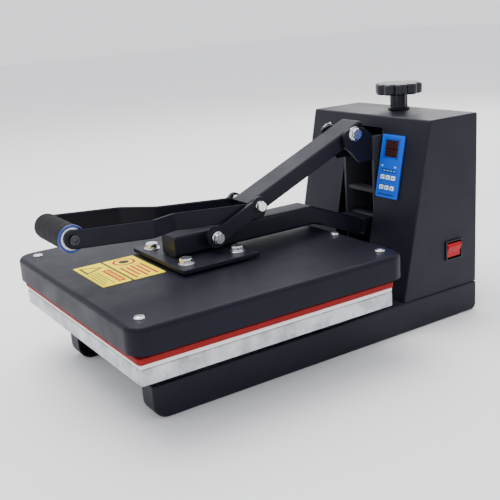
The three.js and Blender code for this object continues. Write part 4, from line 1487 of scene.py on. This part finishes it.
def bent_bar(side, bend):
    """A flat bar on edge with rounded ends, bent outwards towards the grip."""
    radius, half_thick, soft = 12.0, 3.0, 0.9
    front, back, end_steps = GRIP.y, KNEE.y + 1, 10
    at_grip, at_knee = 50, 25.3
    line_height, line_fall = 222.7, 0.0785
    path = fillet([(at_grip, front - radius), (at_grip, 99.2, bend), (at_knee, 143.2, bend),
                   (at_knee, back + radius)], 7)
    turns = [math.pi / 2 * k / end_steps for k in range(end_steps + 1)]
    stations = [front - radius * math.cos(t) for t in turns[:-1]]
    stations += [y for _, y in path if front < y < back]
    stations += [front + 30 * k for k in range(1, 4)] + [160 + 30 * k for k in range(4)]
    stations += [back + radius * math.sin(t) for t in turns]
    rings = []
    for y in sorted(set(round(s, 3) for s in stations)):
        for (x0, y0), (x1, y1) in zip(path, path[1:]):
            if y0 <= y <= y1:
                break
        x = x0 + (x1 - x0) * (y - y0) / max(y1 - y0, 1e-6)
        across = Vector((y1 - y0, x0 - x1)).normalized()
        over = max(front - y, y - back, 0)
        half = math.sqrt(max(radius ** 2 - over ** 2, 0.5))
        rise = min(half * 0.5, soft)
        height = line_height - line_fall * y
        ring = []
        for sx, sz in ((-1, -1), (1, -1), (1, 1), (-1, 1)):
            corner = [(half_thick, half - rise), (half_thick - soft * 0.3, half - rise * 0.3),
                      (half_thick - soft, half)]
            for a, b in corner if sx * sz < 0 else corner[::-1]:
                ring.append((side * (x + across.x * a * sx), y + across.y * a * sx,
                             height + b * sz))
        rings.append(ring)
    return stack(rings)


class HEATPRESS_OT_links(PieceMaker, bpy.types.Operator):
    """The two links, their knee bolts and the knee tube"""

    bl_idname = "heatpress.links"
    bl_label = "Links and knee"

    def execute(self, context):
        for word, side in (("left", -1), ("right", 1)):
            strap = from_node(f"{word}_link")
            if side < 0:
                tuck_in(strap, KNEE, 6, 14.6, 9.6)
            piece(f"{word}_strap_link", strap, "links", "powder_black", [f"{word}_link"], 0.8, 3)
            reach = side * (span("right_link").x1 + 0.2)
            bolt = cross_bolt(reach, KNEE, 13.2, 7.5, 5.2, side * 29.3, 4.4)
            piece(f"{word}_knee_stud", bolt, "links", "zinc", [f"{word}_knee_bolt"])
        box = span("knee_tube")
        profile = [(0, box.x0), (6.4, box.x0), (7, box.x0 + 0.6), (7, box.x1 - 0.6),
                   (6.4, box.x1), (0, box.x1)]
        piece("turned_knee_tube", lathe(profile, along_x(KNEE.y, KNEE.z)), "lever", "zinc",
              ["knee_tube"])
        return {"FINISHED"}


class HEATPRESS_OT_grip(PieceMaker, bpy.types.Operator):
    """The foam grip, its end rings, its rod and the rod's end bolts"""

    bl_idname = "heatpress.grip"
    bl_label = "Grip"

    def execute(self, context):
        place = along_x(GRIP.y, GRIP.z)
        box, bore = span("foam_grip"), 10.3
        profile = [(bore, box.x0), (13.0, box.x0), (15.2, box.x0 + 0.7), (16.6, box.x0 + 2.3)]
        count = 14
        for k in range(count + 1):
            t = k / count
            profile.append((16.86 + 0.12 * math.sin(t * 23), box.x0 + 4.6
                            + t * (box.x1 - box.x0 - 7.4)))
        profile += [(16.8, box.x1 - 1.2), (16.2, box.x1 - 0.3), (15.2, box.x1), (bore, box.x1)]
        foam = piece("foam_sleeve", sleeve(profile, place, 64), "lever", "foam_black",
                     ["foam_grip"])
        ring = span("right_grip_ring")
        outer = sleeve([(14.2, ring.x0), (16.9, ring.x0), (17.5, ring.x0 + 0.7),
                        (17.5, ring.x1 - 0.7), (17.1, ring.x1 - 0.1), (14.2, ring.x1 - 0.1)],
                       place, 64)
        inner = sleeve([(bore, ring.x0 + 0.3), (14.1, ring.x0 + 0.3), (14.1, ring.x1 - 0.3),
                        (13.6, ring.x1), (bore, ring.x1)], place, 64)
        paint_faces(inner, 1)
        piece("right_end_ring", merge(outer, inner), "lever", "ring_blue", ["right_grip_ring"],
              finish=["ring_blue", "ring_white"])
        stop = span("left_grip_ring")
        disc = sleeve([(bore, stop.x0), (13.4, stop.x0), (14, stop.x0 + 0.6),
                       (14, stop.x1 - 0.4), (13.6, stop.x1), (bore, stop.x1)], place, 48)
        piece("left_end_stop", disc, "lever", "plastic_black", ["left_grip_ring"])
        rod, tube_end, rim_end = span("grip_rod"), 46.7, 46
        tube = lathe([(0, -tube_end), (9.4, -tube_end), (10, -rim_end), (10, rim_end),
                      (9.4, tube_end), (0, tube_end)], place, 40)
        piece("grip_tube", tube, "lever", "zinc", ["grip_rod"])
        face = span("right_handle_bar").x1 + 0.1
        ends = []
        for side in (-1, 1):
            ends.append(sleeve([(3.2, side * (rod.x1 - 2)), (3.2, side * rod.x1),
                                (5.6, side * rod.x1), (6.3, side * (rod.x1 - 0.8)),
                                (6.3, side * face), (3.2, side * face)], place, 32))
            sunk = side * (rod.x1 - 1.4)
            ends.append(lathe([(0, side * rim_end), (3.3, side * rim_end), (3.3, sunk),
                               (0, sunk)], place, 24))
        piece("grip_end_bolts", merge(*ends), "lever", "powder_black", finish=["black_bolt"])
        return {"FINISHED"}


class HEATPRESS_OT_stage(PieceMaker, bpy.types.Operator):
    """The floor, the lights and the camera"""

    bl_idname = "heatpress.stage"
    bl_label = "Stage"

    def execute(self, context):
        mesh = bpy.data.meshes.new("floor")
        half, drop = 9.0, -0.0005
        mesh.from_pydata([(half * a, half * b, drop) for a, b in
                          ((-1, -1), (1, -1), (1, 1), (-1, 1))], [], [(0, 1, 2, 3)])
        mesh.materials.append(finishes()["floor"])
        new_object("floor", mesh)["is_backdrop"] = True
        world = bpy.data.worlds.new("studio")
        context.scene.world = world
        world.use_nodes = True
        background = world.node_tree.nodes["Background"]
        background.inputs["Color"].default_value = (0.95, 0.96, 1.0, 1)
        background.inputs["Strength"].default_value = 1.35
        for name, place, aim, size, power in (
                ("key_light", (-0.5, -0.4, 2.4), (0, 0, 0.1), 1.7, 52),
                ("left_light", (-1.7, 0.2, 1.9), (0, 0.05, 0.2), 1.0, 10),
                ("back_light", (-1.2, 2.0, 1.5), (0, 0.1, 0.2), 1.6, 24)):
            light = bpy.data.lights.new(name, "AREA")
            light.shape, light.size, light.energy = "SQUARE", size, power
            lamp = bpy.data.objects.new(name, light)
            context.scene.collection.objects.link(lamp)
            lamp.location = place
            lamp.rotation_euler = (Vector(aim) - Vector(place)).to_track_quat("-Z", "Y").to_euler()
        self.add_camera(context)
        return {"FINISHED"}

    @staticmethod
    def add_camera(context):
        """A camera at three quarters from the front right, a little above the press."""
        azimuth, elevation, roll = (math.radians(a) for a in (57.77, 16.49, -4.01))
        back = Vector((math.sin(azimuth) * math.cos(elevation),
                       -math.cos(azimuth) * math.cos(elevation), math.sin(elevation)))
        level = Vector((0, 0, 1)).cross(back).normalized()
        upright = back.cross(level)
        right = math.cos(roll) * level + math.sin(roll) * upright
        up = math.cos(roll) * upright - math.sin(roll) * level
        data = bpy.data.cameras.new("camera")
        data.lens, data.sensor_width, data.sensor_fit = 59.05, 36, "HORIZONTAL"
        data.clip_start, data.clip_end = 0.05, 60
        camera = bpy.data.objects.new("camera", data)
        context.scene.collection.objects.link(camera)
        turn = [[axis[k] for axis in (right, up, back)] for k in range(3)]
        camera.rotation_euler = Matrix(turn).to_euler()
        camera.location = (0.96631, -0.62566, 0.47625)
        context.scene.camera = camera


OPERATORS = (
    HEATPRESS_OT_stage, HEATPRESS_OT_feet, HEATPRESS_OT_base_tray, HEATPRESS_OT_pads,
    HEATPRESS_OT_casing, HEATPRESS_OT_casing_screws, HEATPRESS_OT_inner_frame,
    HEATPRESS_OT_control_panel, HEATPRESS_OT_keys, HEATPRESS_OT_power_switch,
    HEATPRESS_OT_power_inlet, HEATPRESS_OT_platen, HEATPRESS_OT_cover,
    HEATPRESS_OT_cover_fasteners, HEATPRESS_OT_platen_arm, HEATPRESS_OT_stickers,
    HEATPRESS_OT_carriage, HEATPRESS_OT_pressure_knob, HEATPRESS_OT_lever_channel,
    HEATPRESS_OT_handle_bars, HEATPRESS_OT_links, HEATPRESS_OT_grip,
)


class HEATPRESS_PT_pieces(bpy.types.Panel):
    """Lists the press's pieces in the sidebar"""

    bl_idname = "HEATPRESS_PT_pieces"
    bl_label = "Heat press"
    bl_space_type = "VIEW_3D"
    bl_region_type = "UI"
    bl_category = "Heat press"

    def draw(self, context):
        for group in (context.scene.press_sizes, context.scene.press_colours):
            column = self.layout.column(align=True)
            for name in group.__annotations__:
                column.prop(group, name)
        column = self.layout.column(align=True)
        for operator in OPERATORS:
            column.operator(operator.bl_idname)


CLASSES = (PressSizes, PressColours, *OPERATORS, HEATPRESS_PT_pieces)


def register():
    """Registers the settings, the operators and the panel."""
    for cls in CLASSES:
        bpy.utils.register_class(cls)
    bpy.types.Scene.press_sizes = bpy.props.PointerProperty(type=PressSizes)
    bpy.types.Scene.press_colours = bpy.props.PointerProperty(type=PressColours)


def unregister():
    """Removes what register added."""
    del bpy.types.Scene.press_colours
    del bpy.types.Scene.press_sizes
    for cls in reversed(CLASSES):
        bpy.utils.unregister_class(cls)


def main():
    """Builds every piece in order."""
    register()
    for operator in OPERATORS:
        group, name = operator.bl_idname.split(".")
        getattr(getattr(bpy.ops, group), name)()
    boxes = {"cad": CAD_BOX, "visual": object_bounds()}
    {key: [list(corner) for corner in box] for key, box in boxes.items()}


if __name__ == "__main__":
    main()
